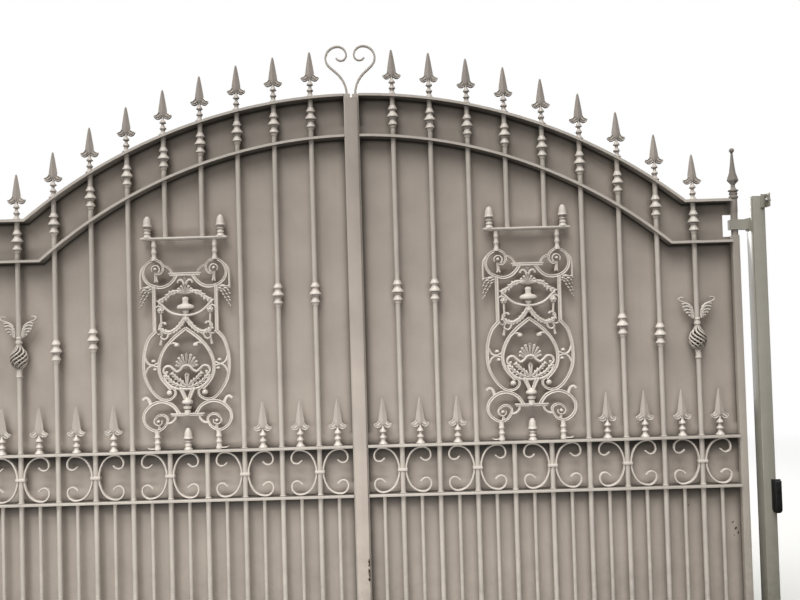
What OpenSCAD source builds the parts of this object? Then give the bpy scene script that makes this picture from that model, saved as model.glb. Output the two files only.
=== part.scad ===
/* [Opening and leaves] */
// Distance from the middle of the gate to the centre of the first full bar
first_bar = 166; // [150:1:190]
// Spacing of the full bars
bay = 150; // [140:1:160]
// Distance from the last full bar to the centre of the hinge stile
last_bay = 164; // [140:1:180]
// Height of the scroll band's upper rail above the ground
mid_z = 856; // [780:1:950]
// Distance down from that rail to the scroll band's lower rail
band_drop = 196; // [170:1:220]
// Height of the bottom rail's centre above the ground
bottom_z = 66; // [55:1:120]
// Radius of the arched top rail
top_r = 2117; // [2000:1:2300]
// Height of the top of the arch above the upper band rail
crown_rise = 1415; // [1380:1:1450]
// Height of the flat shoulders of the top rail above the upper band rail
shoulder_rise = 945; // [925:1:965]
// Distance between the top rail and the rail below it
arch_gap = 165; // [150:1:180]

/* [Bars and rails] */
// Diameter of the full bars
bar_d = 20; // [16:0.5:22]
// Diameter of the short bars in the bottom panel
dog_d = 15; // [12:0.5:18]
// Reach of the flat rails forward of the bars' middle
rail_front = 25; // [24:1:30]
// Reach of the flat rails back from the bars' middle
rail_back = 36; // [36:1:45]
// Thickness of the flat rails
rail_t = 12; // [8:0.5:14]
// Clearance of a bar in its hole
bar_gap = 0.15; // [0.1:0.05:0.4]
// Thickness of the backing sheet
sheet_t = 2; // [1.5:0.5:4]
// Distance of the sheet's edge from the middle of the gate
sheet_margin = 6; // [5:1:10]
// Reach of the sheet's notch round the top hinge, from the hinge axis
notch_w = 36; // [30:1:45]
// Height of that notch
notch_h = 88; // [70:1:110]

/* [Stiles] */
// Side of the square hinge stile
stile_w = 30; // [28:1:36]
// Width of each meeting stile
meet_w = 26; // [24:1:32]
// Distance from the middle of the gate to each meeting stile
meet_gap = 4; // [3:0.5:6]
// Distance of the right meeting stile's front face from the bars' middle
meet_front = 12.5; // [10:0.5:15]
// Width of the closing bar
lap_w = 50; // [44:1:50]
// Thickness of the closing bar
lap_t = 8; // [6:1:12]
// Gap between the closing bar and the leaf it laps
lap_gap = 9; // [8:0.5:12]

/* [Posts and hinges] */
// Width of a post
post_w = 50; // [40:1:80]
// Depth of a post, front to back
post_d = 80; // [70:1:100]
// Distance from the hinge stile's face to the post
post_gap = 40; // [30:1:60]
// Distance that a post stands forward of the hinge axis
post_front = 60; // [50:1:70]
// Height of a post
post_h = 1808; // [1780:1:1900]
// Diameter of the round journal in the top hinge
journal_d = 28; // [24:1:28]
// Running clearance of the hinge journals, on the radius
run_gap = 0.08; // [0.02:0.01:0.1]
// Height of the strap's middle above the upper band rail
strap_rise = 845; // [830:1:850]
// Height of the strap
strap_h = 40; // [30:1:44]
// Wall of the strap
strap_t = 7; // [6:1:12]
// Depth of the strap and of the heel bracket, front to back
strap_d = 38; // [30:1:44]
// Thickness of the plate between the strap and the post
plate_t = 5; // [4:0.5:8]
// Diameter of the bottom pivot
pivot_d = 20; // [16:1:24]
// Height of the heel bracket's top above the ground
heel_z = 46; // [40:1:50]
// Thickness of the heel bracket
heel_t = 14; // [10:1:18]
// Height of the lower cleats' middle above the ground
cleat_low = 180; // [120:5:300]
// Distance of the upper cleats' middle below the top of the post
cleat_drop = 21; // [10:1:40]
// Reach of a cleat forward of the post
cleat_reach = 40; // [35:1:50]
// Diameter of the hole in a cleat
cleat_hole = 11; // [9:0.5:13]
// Height of a cleat
cleat_h = 53; // [45:1:60]
// Thickness of a cleat
cleat_t = 5; // [4:0.5:8]
// Distance of the photocell's middle below the upper band rail
cell_drop = 235; // [200:5:300]
// Depth of the photocell, front to back
cell_d = 32; // [28:1:40]
// Height of the photocell
cell_h = 132; // [120:1:140]
// Width of the photocell
cell_w = 34; // [30:1:38]

/* [Ornament] */
// Height of a railhead
head_h = 184; // [160:1:200]
// Height of a turned collar
collar_h = 92; // [80:1:100]
// Height of the inner pair of collars above the upper band rail
collar_rise_a = 616; // [590:1:630]
// Height of the seventh bar's collar above the upper band rail
collar_rise_b = 455; // [440:1:470]
// Height of the eighth bar's collar above the upper band rail
collar_rise_c = 413; // [400:1:430]
// Height of the basket's middle above the upper band rail
basket_rise = 391; // [380:1:400]
// Radius to the middle of the basket's rods
basket_r = 32; // [28:0.5:32]
// Radius of a basket rod
rod_r = 3; // [2.5:0.1:3.2]
// Height of the spear finial on the hinge stile
spear_h = 204; // [190:1:215]
// Height of an acorn
acorn_h = 87; // [80:1:95]
// Thickness of the forged scroll strip
strip_t = 6; // [4:0.5:8]
// Depth of the forged scroll strip
strip_d = 16; // [12:1:20]
// Height of the cast panel's own rail above the upper band rail
panel_rise = 857; // [840:1:865]
// Width of the cast panel's rail
panel_w = 340; // [320:1:350]
// Thickness of the cast panel
panel_t = 12; // [8:1:16]
// Distance of the panel's acorns from the ends of its rail
acorn_in = 26; // [20:1:30]
// Wall of the clips that tie the scrolls
clip_t = 3; // [2:0.5:4]
// Height of those clips
clip_h = 13; // [10:1:16]

/* [Hidden] */
$fn = 48;
count = 9;
rods = 8;
seat = 0.3;
moulding_t = 8;
moulding_d = 30;
plate_rim = 5;
heel_round = 24;
journal_under = 22;
sleeve_over = 27;
foot_gap = 4;
cleat_foot = 18;
cell_side = 3;
cell_back = 12;
basket_foot = 78;
basket_neck = 70;
paint = "#aba598";
black = "#17181a";

bar_r = bar_d / 2;
dog_r = dog_d / 2;
half_t = rail_t / 2;
hinge_x = first_bar + (count - 1) * bay + last_bay;
post_x = hinge_x + stile_w / 2 + post_gap;
crown_z = mid_z + crown_rise;
shoulder_z = mid_z + shoulder_rise;
low_z = mid_z - band_drop;
arc_z = crown_z - top_r;
arch_r = top_r - arch_gap;
arch_shoulder_z = shoulder_z - arch_gap;
rail_start = meet_gap + meet_w;
rail_end = hinge_x - stile_w / 2;
strap_z = mid_z + strap_rise;
strap_out = journal_d / 2 + strap_t;
journal_low = strap_z - strap_h / 2 - journal_under;
sleeve_z = strap_z + strap_h / 2 + sleeve_over;
panel_z = mid_z + panel_rise;
panel_x = bar_x(4) + bay / 2;
basket_z = mid_z + basket_rise;
lap_back = -meet_front - lap_gap;

// Place of full bar k, counted from the middle of the gate
function bar_x(k) = first_bar + (k - 1) * bay;
// Height of an arched rail's centre line at distance x from the middle of the gate
function arc_h(x, r) = arc_z + sqrt(r * r - x * x);
// Distance from the middle at which an arched rail of radius r meets its shoulder at height z
function corner_x(r, z) = sqrt(r * r - (z - arc_z) * (z - arc_z));
function rail_h(x, r, z) = x < corner_x(r, z) ? arc_h(x, r) : z;

// A strip's centre line is a list of [radius, sweep] arcs run from a start point and heading.
// A positive sweep turns left, and with no sweep the first number is a straight length.
// The result is a list of [x, z, heading] stations.
function arc_end(p, arc) =
    arc[1] == 0 ? [p[0] + arc[0] * cos(p[2]), p[1] + arc[0] * sin(p[2]), p[2]] :
    let (side = sign(arc[1]))
    let (cx = p[0] - side * arc[0] * sin(p[2]))
    let (cz = p[1] + side * arc[0] * cos(p[2]))
    let (h = p[2] + arc[1])
    [cx + side * arc[0] * sin(h), cz - side * arc[0] * cos(h), h];
function arc_steps(p, arc, n) =
    [for (i = [1 : n]) arc_end(p, [arc[1] == 0 ? arc[0] * i / n : arc[0], arc[1] * i / n])];
function run(p, arcs, i = 0) =
    i == len(arcs)
        ? [p]
        : let (n = max(2, ceil(abs(arcs[i][1]) / 12)))
          let (steps = arc_steps(p, arcs[i], n))
          concat([p], [for (k = [0 : n - 2]) steps[k]], run(steps[n - 1], arcs, i + 1));
function beside(s, off) = [s[0] - off * sin(s[2]), s[1] + off * cos(s[2])];
function widths(n, w0, w1) = [for (i = [0 : n]) w0 + (w1 - w0) * i / n];

// Flat strip that follows the arcs in the plane of the gate, front to back size d
module strip(p, arcs, w0, w1, d) {
    line = run(p, arcs);
    n = len(line) - 1;
    w = widths(n, w0, w1);
    a = [for (i = [0 : n]) beside(line[i], w[i] / 2)];
    b = [for (i = [n : -1 : 0]) beside(line[i], -w[i] / 2)];
    translate([0, d / 2, 0])
        rotate([90, 0, 0])
            linear_extrude(height = d)
                polygon(concat(a, b));
}

// Smooth line through hand-set points, each stretch cut in two
function smooth(p) = [
    for (i = [0 : len(p) - 2], t = [0, 0.5])
        let (a = p[max(i - 1, 0)])
        let (b = p[i])
        let (c = p[i + 1])
        let (d = p[min(i + 2, len(p) - 1)])
        let (bend = 2 * a - 5 * b + 4 * c - d)
        let (twist = 3 * b - a - 3 * c + d)
        0.5 * (2 * b + (c - a) * t + bend * t * t + twist * t * t * t),
    p[len(p) - 1]
];
// Point i of a line, moved sideways by off
function aside(q, i, off) =
    let (d = q[min(i + 1, len(q) - 1)] - q[max(i - 1, 0)])
    q[i] + off * [-d[1], d[0]] / norm(d);
// Cast or forged ribbon outline along hand-set points, w0 wide at its start and w1 at its end
module ribbon(p, w0, w1) {
    q = smooth(p);
    n = len(q) - 1;
    w = widths(n, w0, w1);
    a = [for (i = [0 : n]) aside(q, i, w[i] / 2)];
    b = [for (i = [n : -1 : 0]) aside(q, i, -w[i] / 2)];
    polygon(concat(a, b));
}
module mirrored(side) {
    mirror([side < 0 ? 1 : 0, 0]) children();
}
// Stands an outline up in the plane of the gate, d thick from front to back
module flat(d) {
    translate([0, d / 2, 0])
        rotate([90, 0, 0])
            linear_extrude(height = d)
                children();
}

// Everything is drawn from the middle of the gate and moved so that the right post's foot is the origin
module place() {
    translate([-post_x - post_w / 2, post_front - post_d / 2, 0]) children();
}
module right(shade = paint) {
    color(shade) place() children();
}
module left(shade = paint) {
    color(shade) place() mirror([1, 0, 0]) children();
}

// Everything below an arc of radius r that runs out level at height z, from y0 in front to y1 behind
module under_arc(r, z, x0, x1, low, y0, y1) {
    intersection() {
        translate([0, y1, arc_z]) rotate([90, 0, 0]) cylinder(r = r, h = y1 - y0, $fn = 360);
        translate([x0, y0 - 1, low]) cube([x1 - x0, y1 - y0 + 2, arc_z + r - low + 1]);
    }
    xc = corner_x(r, z);
    translate([xc - 20, y0, low]) cube([x1 - xc + 20, y1 - y0, z - low]);
}
// Flat bar bent along the arc and continued level to the hinge stile
module arched_rail(r, z) {
    low = z - 5 * rail_t;
    difference() {
        under_arc(r + half_t, z + half_t, rail_start, rail_end, low, -rail_front, rail_back);
        under_arc(r - half_t, z - half_t, rail_start - 1, rail_end + 1, low - 1,
            -rail_front - 1, rail_back + 1);
    }
}
module bar_holes(z0, z1) {
    for (k = [1 : count])
        translate([bar_x(k), 0, z0]) cylinder(r = bar_r + bar_gap, h = z1 - z0);
}
module top_rail() {
    difference() {
        arched_rail(top_r, shoulder_z);
        bar_holes(shoulder_z - rail_t, crown_z + rail_t);
    }
}
module arch_rail() {
    difference() {
        arched_rail(arch_r, arch_shoulder_z);
        bar_holes(arch_shoulder_z - rail_t, crown_z);
    }
}
module plain_rail(z) {
    translate([rail_start, -rail_front, z - half_t])
        cube([rail_end - rail_start, rail_front + rail_back, rail_t]);
}
module level_rail(z) {
    difference() {
        plain_rail(z);
        for (k = [1 : count])
            translate([bar_x(k), 0, z - rail_t]) cylinder(r = bar_r + bar_gap, h = 2 * rail_t);
    }
}
// The fourth and fifth bars are broken by the cast panel, and the last bar by its basket
module full_bars() {
    foot = bottom_z + half_t;
    for (k = [1 : count]) {
        top = rail_h(bar_x(k), top_r, shoulder_z);
        in_panel = k == 4 || k == 5;
        in_basket = k == count;
        break_low = in_panel ? mid_z + half_t : in_basket ? basket_z - basket_foot : top;
        break_top = in_panel ? panel_z + moulding_t / 2 : in_basket ? basket_z + basket_neck : top;
        translate([bar_x(k), 0, foot]) cylinder(r = bar_r, h = break_low - foot);
        if (break_top < top)
            translate([bar_x(k), 0, break_top]) cylinder(r = bar_r, h = top - break_top);
    }
}
module short_bars() {
    foot = bottom_z + half_t;
    for (k = [0 : count])
        translate([bar_x(k) + bay / 2, 0, foot])
            cylinder(r = dog_r, h = low_z - half_t - foot);
}
// Plain sheet on the back of the rails, notched round the hinge strap
module sheet() {
    low = bottom_z - half_t;
    edge = hinge_x - 3;
    difference() {
        under_arc(top_r, shoulder_z, sheet_margin, edge, low, rail_back, rail_back + sheet_t);
        translate([hinge_x - notch_w, rail_back - 1, strap_z - notch_h / 2])
            cube([notch_w, sheet_t + 2, notch_h]);
    }
}
module hinge_stile() {
    foot = heel_z + foot_gap;
    translate([hinge_x - stile_w / 2, -stile_w / 2, foot])
        cube([stile_w, stile_w, journal_low - foot]);
    translate([hinge_x, 0, journal_low])
        cylinder(d = journal_d, h = sleeve_z - journal_low);
    translate([hinge_x, 0, sleeve_z])
        rotate_extrude()
            polygon([
                [0, 0], [journal_d / 2, 0], [stile_w / 2, 5],
                [stile_w / 2, shoulder_z + half_t - sleeve_z], [0, shoulder_z + half_t - sleeve_z]
            ]);
    translate([hinge_x, 0, heel_z - heel_t])
        cylinder(d = pivot_d, h = foot - heel_z + heel_t);
    translate([hinge_x, 0, shoulder_z + half_t]) spear();
}
// Finial of the hinge stile: turned collar, four-sided spear and a small cup at its tip
module spear() {
    k = spear_h / 204;
    rotate_extrude()
        polygon([
            [0, -8], [14, -8], [14, 0], [19, 2], [19, 8], [15.5, 11], [15.5, 16], [17, 18], [17, 22],
            [15, 24], [15, 27], [21, 30], [21, 34], [13, 38], [9, 46], [8, 60], [0, 60]
        ]);
    ridged([
        [48, 7, 7], [58, 10, 10], [73 * k, 24, 24], [79 * k, 22.5, 22.5], [105 * k, 13.5, 13.5],
        [145 * k, 8, 8], [180 * k, 4.8, 4.8], [190 * k, 4.5, 4.5]
    ]);
    rotate_extrude()
        polygon([[0, 184 * k], [4, 184 * k], [10, 192 * k], [10.5, 197 * k], [7, 203 * k], [0, 204 * k]]);
}
// Four-sided forging, its edges to the front, back and sides, through [height, half width, half depth]
module ridged(rows) {
    n = len(rows) - 1;
    polyhedron(
        points = [for (q = rows) each [[q[1], 0, q[0]], [0, q[2], q[0]], [-q[1], 0, q[0]], [0, -q[2], q[0]]]],
        faces = concat(
            [[0, 1, 2, 3]],
            [for (i = [0 : n - 1], j = [0 : 3])
                [4 * i + j, 4 * i + 4 + j, 4 * i + 4 + (j + 1) % 4, 4 * i + (j + 1) % 4]],
            [[4 * n + 3, 4 * n + 2, 4 * n + 1, 4 * n]]
        )
    );
}
module meeting_stile(front, back) {
    translate([meet_gap, front, bottom_z - half_t])
        cube([meet_w, back - front, arc_h(rail_start, top_r) + rail_t - bottom_z]);
}
module closing_bar() {
    translate([-lap_w / 2, lap_back - lap_t, bottom_z - half_t])
        cube([lap_w, lap_t, crown_z - half_t - bottom_z]);
}

// Turned collar of three bells, threaded on a bar
module collar() {
    k = collar_h / 92;
    bore = bar_r + bar_gap;
    rotate_extrude()
        polygon([
            [bore, -46 * k], [12.5, -46 * k], [12.5, -40 * k], [14, -37 * k], [14, -35 * k],
            [19, -34 * k], [19, -30 * k], [14, -22 * k], [11.8, -15 * k], [13.5, -11 * k],
            [16.5, -8 * k], [16.5, -5 * k], [22, -4 * k], [23.5, -2 * k], [23.5, 2 * k],
            [18, 10 * k], [12.5, 18 * k], [11.8, 22 * k], [13.5, 26 * k], [18.5, 28 * k],
            [18.5, 32 * k], [14, 39 * k], [11.8, 46 * k], [bore, 46 * k]
        ]);
}
module collars() {
    for (k = [1 : count]) {
        above = rail_h(bar_x(k), top_r, shoulder_z);
        below = rail_h(bar_x(k), arch_r, arch_shoulder_z);
        translate([bar_x(k), 0, (above + below) / 2]) collar();
    }
    for (k = [1, 2]) translate([bar_x(k), 0, mid_z + collar_rise_a]) collar();
    translate([bar_x(7), 0, mid_z + collar_rise_b]) collar();
    translate([bar_x(8), 0, mid_z + collar_rise_c]) collar();
}

// Cast spearhead: turned neck with two bells, a ridged blade and a pair of curled barbs
module railhead(drop) {
    k = head_h / 184;
    rotate_extrude()
        polygon([
            [0, -drop], [11, -drop], [18.5, 0], [17, 3], [9.5, 12], [8.5, 15], [10.5, 18],
            [10.5, 23], [13.5, 26], [13, 31], [7, 39], [6.5, 43], [8, 47], [13, 49], [13.5, 53],
            [12, 56], [5.5, 65], [4.5, 74], [0, 74]
        ]);
    ridged([
        [62, 4, 4], [74, 9, 6], [85, 18.5, 8], [95, 18, 8], [109 * k, 16.6, 7.5],
        [131 * k, 12.8, 7], [153 * k, 9.3, 5.5], [172 * k, 5.6, 4], [181 * k, 3, 2.5],
        [184 * k, 1.2, 1.2]
    ]);
    for (side = [-1, 1])
        flat(8) mirrored(side)
            ribbon([[3, 82], [10, 74], [19, 69], [28, 71.5], [35, 80]], 14, 5);
}
module railheads() {
    difference() {
        for (k = [1 : count]) {
            x = bar_x(k);
            slope = x < corner_x(top_r, shoulder_z) ? tan(asin(x / top_r)) : 0;
            translate([x, 0, rail_h(x, top_r, shoulder_z) + half_t]) railhead(1 + 13 * slope);
        }
        under_arc(top_r + half_t + bar_gap, shoulder_z + half_t + bar_gap, 0, rail_end,
            shoulder_z - 5 * rail_t, -rail_front, rail_back);
    }
}
// Cast acorn on a turned foot
module acorn() {
    k = acorn_h / 87;
    rotate_extrude()
        polygon([
            [0, 0], [18, 0], [17, 3], [12, 9], [11.5, 13], [13.5, 16], [13.5, 20], [10.5, 23],
            [10, 26], [13.5, 29], [14, 33], [10.5, 36], [12, 39], [17.5, 42], [19.5, 44],
            [19.5, 47], [16.5, 49 * k], [15.5, 60 * k], [13.5, 72 * k], [9, 81 * k], [4, 86 * k],
            [0, 87 * k]
        ]);
}
module band_heads() {
    for (k = [0, 1, 2, 6, 7, 8, 9])
        translate([bar_x(k) + bay / 2, 0, mid_z + half_t]) railhead(0);
    translate([panel_x, 0, mid_z + half_t]) acorn();
}

// One C scroll of the band, its back towards the bar, drawn for the right-hand side of the bar
module c_scroll(side) {
    half = (band_drop - rail_t - strip_t) / 2 - seat;
    r1 = 1.32 * half;
    r2 = 0.68 * half;
    x = side * (bar_r + strip_t / 2 + seat);
    for (up = [-1, 1])
        strip([x, 0, up * 90],
            [[r1, -up * side * 30], [r2, -up * side * 60], [32, -up * side * 100], [20, -up * side * 130]],
            strip_t, strip_t - 1.5, strip_d);
}
module scroll_band() {
    for (k = [1 : 2 : count], side = [-1, 1])
        translate([bar_x(k), 0, mid_z - band_drop / 2]) c_scroll(side);
    for (k = [1 : 2 : count])
        translate([bar_x(k), 0, mid_z - band_drop / 2]) clip();
}
// Wrapped clip that ties a pair of scrolls to their bar
module clip() {
    inner = bar_r + strip_t + 2 * seat;
    hollow = bar_r + seat;
    difference() {
        translate([-inner - clip_t, -hollow - clip_t, -clip_h / 2])
            cube([2 * (inner + clip_t), 2 * (hollow + clip_t), clip_h]);
        translate([-inner, -hollow, -clip_h])
            cube([2 * inner, 2 * hollow, 2 * clip_h]);
    }
}

// One round rod of the basket, laid along points given as [radius, height, angle] about the bar
module rod(rows, r) {
    n = len(rows) - 1;
    line = [for (q = rows) [q[0] * cos(q[2]), q[0] * sin(q[2]), q[1]]];
    polyhedron(
        points = [
            for (i = [0 : n])
                let (d = line[min(i + 1, n)] - line[max(i - 1, 0)])
                let (u = [cos(rows[i][2]), sin(rows[i][2]), 0])
                let (v = cross(d, u) / norm(cross(d, u)))
                for (j = [0 : 5]) line[i] + r * (cos(60 * j) * cross(v, d) / norm(d) + sin(60 * j) * v)
        ],
        faces = concat(
            [[for (j = [0 : 5]) j]],
            [for (i = [0 : n - 1], j = [0 : 5])
                [6 * i + j, 6 * i + 6 + j, 6 * i + 6 + (j + 1) % 6, 6 * i + (j + 1) % 6]],
            [[for (j = [5 : -1 : 0]) 6 * n + j]]
        )
    );
}
// Half outline of the leaf above the basket, beside the bar
module leaf_outline() {
    polygon([
        [13, 80], [15, 111], [21, 127], [36, 142], [50, 150], [62, 153], [67, 158], [62, 165],
        [50, 165], [52, 171], [64, 171], [74, 161], [69, 149], [58, 141], [59, 127], [53, 109],
        [36, 113], [27, 107], [37, 99], [28, 91], [19, 80]
    ]);
}
// Basket of twisted rods between two turned collars, with a pair of leaves above
module basket() {
    k = basket_r / 32;
    rod_rows = [
        [8.4, -50], [9.5, -43], [15, -35], [22, -28], [29 * k, -18], [32 * k, -8], [32 * k, 4],
        [30 * k, 14], [25, 23], [18, 32], [12, 41], [8.4, 50], [8.4, 57]
    ];
    translate([bar_x(count), 0, basket_z]) {
        rotate_extrude($fn = 96)
            polygon([
                [0, -basket_foot], [12, -basket_foot], [13, -basket_foot + 2], [13, -74],
                [11.6, -70], [11.6, -46], [7, -44], [0, -44]
            ]);
        rotate_extrude($fn = 96)
            polygon([
                [0, 52], [7, 52], [11.6, 54], [11.6, 57], [13.5, 59], [13.5, 66], [12, basket_neck],
                [0, basket_neck]
            ]);
        difference() {
            union() {
                translate([0, 0, basket_neck]) cylinder(r = 14, h = 13, $fn = 96);
                for (side = [-1, 1])
                    flat(7) mirrored(side) leaf_outline();
            }
            translate([0, 0, basket_neck]) cylinder(r = bar_r + bar_gap, h = 100, $fn = 96);
        }
        for (j = [0 : rods - 1])
            rod([for (q = rod_rows) [q[0], q[1], 360 * j / rods - 2 * q[1]]], rod_r);
    }
}

// Places on the casting, as [from its middle, above the upper band rail], scaled to the panel's size
function on_panel(p) = [for (q = p) [q[0] * panel_w / 340, q[1] * panel_rise / 851]];
module stroke(p, w0, w1) {
    ribbon(on_panel(p), w0, w1);
}
module button(x, z, r) {
    translate(on_panel([[x, z]])[0]) circle(r = r, $fn = 24);
}
// Scrolled ear under the panel's rail, with its volute, lobe, falling leaf and bunch of fruit
module ear() {
    stroke([[30, 706], [42, 684], [66, 662], [100, 654], [143, 670], [163, 707], [150, 747],
        [117, 764], [92, 752], [84, 728], [96, 709], [112, 710]], 13, 9);
    button(115, 727, 14);
    stroke([[116, 716], [113, 682]], 9, 14);
    stroke([[86, 738], [70, 734], [56, 722], [50, 706]], 8, 8);
    stroke([[150, 748], [170, 726], [174, 690], [174, 650]], 8, 8);
    stroke([[118, 630], [136, 642], [166, 652]], 10, 10);
    polygon(on_panel([[130, 656], [128, 638], [138, 622], [150, 598], [172, 577], [181, 582], [179, 656]]));
}
// Urn flanked by leafy swags
module urn_outline() {
    polygon(on_panel([
        [0, 697], [6, 688], [5, 681], [18, 684], [29, 672], [18, 675], [7, 667], [6, 660], [16, 654],
        [26, 640], [33, 630], [20, 630], [27, 616], [12, 608], [12, 590], [0, 590]
    ]));
}
module swags() {
    stroke([[18, 634], [55, 632], [77, 613], [104, 598]], 9, 11);
    stroke([[104, 600], [80, 572], [58, 553], [28, 543], [-1, 540]], 9, 9);
    stroke([[123, 566], [104, 578], [84, 568]], 8, 8);
    button(97, 562, 16);
    stroke([[97, 552], [95, 500]], 9, 9);
    stroke([[4, 534], [14, 512], [35, 488], [62, 474], [90, 479], [102, 496], [94, 511], [80, 511]], 12, 8);
}
// Pointed oval and the outer bow that holds it, with their ties and curls
module bow() {
    stroke([[122, 660], [122, 560], [122, 474]], 15, 15);
    stroke([[122, 480], [108, 466], [88, 470]], 8, 8);
    stroke([[70, 474], [73, 454], [86, 446], [98, 456], [94, 466]], 6, 6);
    stroke([[96, 452], [101, 426]], 6, 10);
    stroke([[-2, 489], [35, 461], [60, 438], [84, 408], [101, 372], [108, 334], [100, 295], [81, 267],
        [60, 246]], 13, 12);
    stroke([[92, 394], [74, 420], [52, 431], [37, 424]], 9, 8);
    button(36, 421, 11);
    stroke([[116, 480], [146, 446], [162, 398], [167, 350], [163, 298], [145, 254], [118, 219],
        [91, 204], [66, 207], [48, 222], [46, 240], [58, 251], [72, 246]], 12, 9);
    button(69, 232, 12);
    stroke([[162, 374], [153, 354], [136, 345], [108, 354]], 7, 7);
    stroke([[163, 310], [152, 330], [136, 341], [114, 338]], 7, 7);
    button(129, 357, 8);
    button(124, 330, 8);
}
// Fan palmette on its cup, stalks and lower band
module palmette() {
    polygon(on_panel([
        [0, 386], [14, 381], [18, 372], [30, 368], [33, 358], [44, 354], [46, 344], [36, 336],
        [22, 322], [12, 306], [0, 300]
    ]));
    stroke([[108, 316], [86, 318], [66, 331], [46, 328], [32, 312], [16, 298], [-1, 302]], 8, 8);
    polygon(on_panel([
        [0, 304], [16, 300], [34, 312], [50, 322], [64, 314], [74, 292], [76, 268], [60, 258],
        [42, 258], [24, 268], [0, 262]
    ]));
    stroke([[24, 264], [15, 232], [2, 200]], 11, 10);
}
// Scrolled foot ring with its volute, hook and link to the short bar
module foot_ring() {
    stroke([[32, 146], [56, 180], [96, 197], [135, 188], [164, 160], [171, 128], [158, 100],
        [130, 82], [103, 87], [84, 106], [79, 130], [95, 144], [114, 142], [126, 130]], 12, 9);
    button(114, 120, 15);
    stroke([[114, 112], [110, 84]], 9, 14);
    stroke([[86, 112], [66, 112], [50, 126], [46, 144]], 8, 8);
    stroke([[143, 184], [150, 205], [163, 214], [174, 203]], 8, 6);
}
// Everything of the casting that lies in its own plane, on one side of its middle
module half_casting() {
    ear();
    urn_outline();
    swags();
    bow();
    palmette();
    foot_ring();
}
// Turned parts of the casting: outlines as [radius, height], scaled to the panel's height
module turned(x, rows) {
    translate([x * panel_w / 340, 0, 0])
        rotate_extrude($fn = 32)
            polygon([for (q = rows) [q[0], q[1] * panel_rise / 851]]);
}
module boss(x, z, r) {
    translate([x * panel_w / 340, 0, z * panel_rise / 851]) sphere(r = r, $fn = 24);
}
module cast_panel() {
    half_m = moulding_t / 2;
    foot = half_t * 851 / panel_rise;
    translate([panel_x, 0, mid_z]) {
        flat(panel_t) union() {
            for (side = [-1, 1])
                mirrored(side) half_casting();
            translate([-64 * panel_w / 340, 699 * panel_rise / 851]) square([128 * panel_w / 340, 14]);
            translate([-10, 520 * panel_rise / 851]) square([20, 24]);
        }
        translate([-panel_w / 2, -moulding_d / 2, panel_rise - half_m])
            cube([panel_w, moulding_d, moulding_t]);
        translate([-66 * panel_w / 340, -panel_t / 2 - 3, 139 * panel_rise / 851])
            cube([132 * panel_w / 340, panel_t + 6, 12]);
        flat(panel_t + 10) polygon(on_panel([
            [-9, 538], [9, 538], [9, 550], [14, 555], [12, 561], [24, 566], [34, 569], [35, 576],
            [28, 583], [-28, 583], [-35, 576], [-34, 569], [-24, 566], [-12, 561], [-14, 555], [-9, 550]
        ]));
        turned(0, [
            [0, 144], [13, 144], [12, 162], [10, 165], [15, 168], [16, 178], [11, 182], [11, 186],
            [20, 189], [22, 195], [20, 201], [12, 204], [8, 212], [0, 212]
        ]);
        for (side = [-1, 1]) {
            translate([side * (panel_w / 2 - acorn_in), 0, panel_rise + half_m]) acorn();
            turned(side * 119, [
                [0, 762], [11, 762], [11, 772], [8.5, 778], [8.5, 790], [10, 793], [10, 800],
                [8.5, 803], [8.5, 815], [10.5, 818], [10.5, 823], [9, 826], [9, 848], [0, 848]
            ]);
            turned(side * 120, [
                [0, foot], [12, foot], [12, 16], [9.5, 20], [9.5, 30], [12, 33], [12, 38], [9, 41],
                [9, 52], [12, 55], [12, 60], [9.5, 64], [11, 82], [0, 82]
            ]);
            translate([side > 0 ? 112 : -158, -9, half_t]) cube([46, 18, 8]);
            boss(side * 115, 727, 13);
            boss(side * 114, 120, 14);
            boss(side * 69, 232, 11);
            boss(side * 97, 562, 13);
        }
    }
}

// Scroll on top of a meeting stile
module top_scroll() {
    foot = arc_h(rail_start, top_r) + half_t;
    strip([meet_gap + meet_w / 2, foot, 90], [[121, -48], [36, 0], [48, 138], [36, 90], [22, 150]],
        9, 6, strip_d);
}

module post() {
    translate([post_x, -post_front, 0]) cube([post_w, post_d, post_h]);
}
// Strap that wraps the hinge journal and is welded to the post through a plate
module strap() {
    difference() {
        union() {
            translate([hinge_x - strap_out, -strap_d / 2, strap_z - strap_h / 2])
                cube([post_x - plate_t - hinge_x + strap_out, strap_d, strap_h]);
            translate([post_x - plate_t, -strap_d / 2 - 1, strap_z - strap_h / 2 - plate_rim])
                cube([plate_t, strap_d + 2, strap_h + 2 * plate_rim]);
        }
        translate([hinge_x, 0, strap_z - strap_h])
            cylinder(r = journal_d / 2 + run_gap, h = 2 * strap_h, $fn = 96);
        translate([hinge_x + strap_out, -strap_d / 2 + strap_t, strap_z - strap_h])
            cube([post_x - plate_t - hinge_x - strap_out, strap_d - 2 * strap_t, 2 * strap_h]);
    }
}
module heel() {
    difference() {
        translate([hinge_x - heel_round, -strap_d / 2, heel_z - heel_t])
            cube([post_x - hinge_x + heel_round, strap_d, heel_t]);
        translate([hinge_x, 0, heel_z - 2 * heel_t])
            cylinder(r = pivot_d / 2 + run_gap, h = 3 * heel_t, $fn = 96);
    }
}
// Angle cleats that hold the post back to the masonry
module cleats() {
    for (z = [cleat_low, post_h - cleat_drop])
        translate([post_x + post_w, -post_front - cleat_t, z - cleat_h / 2]) {
            difference() {
                union() {
                    translate([-cleat_foot, 0, 0]) cube([cleat_foot + cleat_t, cleat_t, cleat_h]);
                    translate([0, -cleat_reach, 0]) cube([cleat_t, cleat_reach + cleat_t, cleat_h]);
                }
                translate([-1, -(cleat_reach + 4) / 2, cleat_h / 2])
                    rotate([0, 90, 0]) cylinder(d = cleat_hole, h = cleat_t + 2);
            }
        }
}
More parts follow.
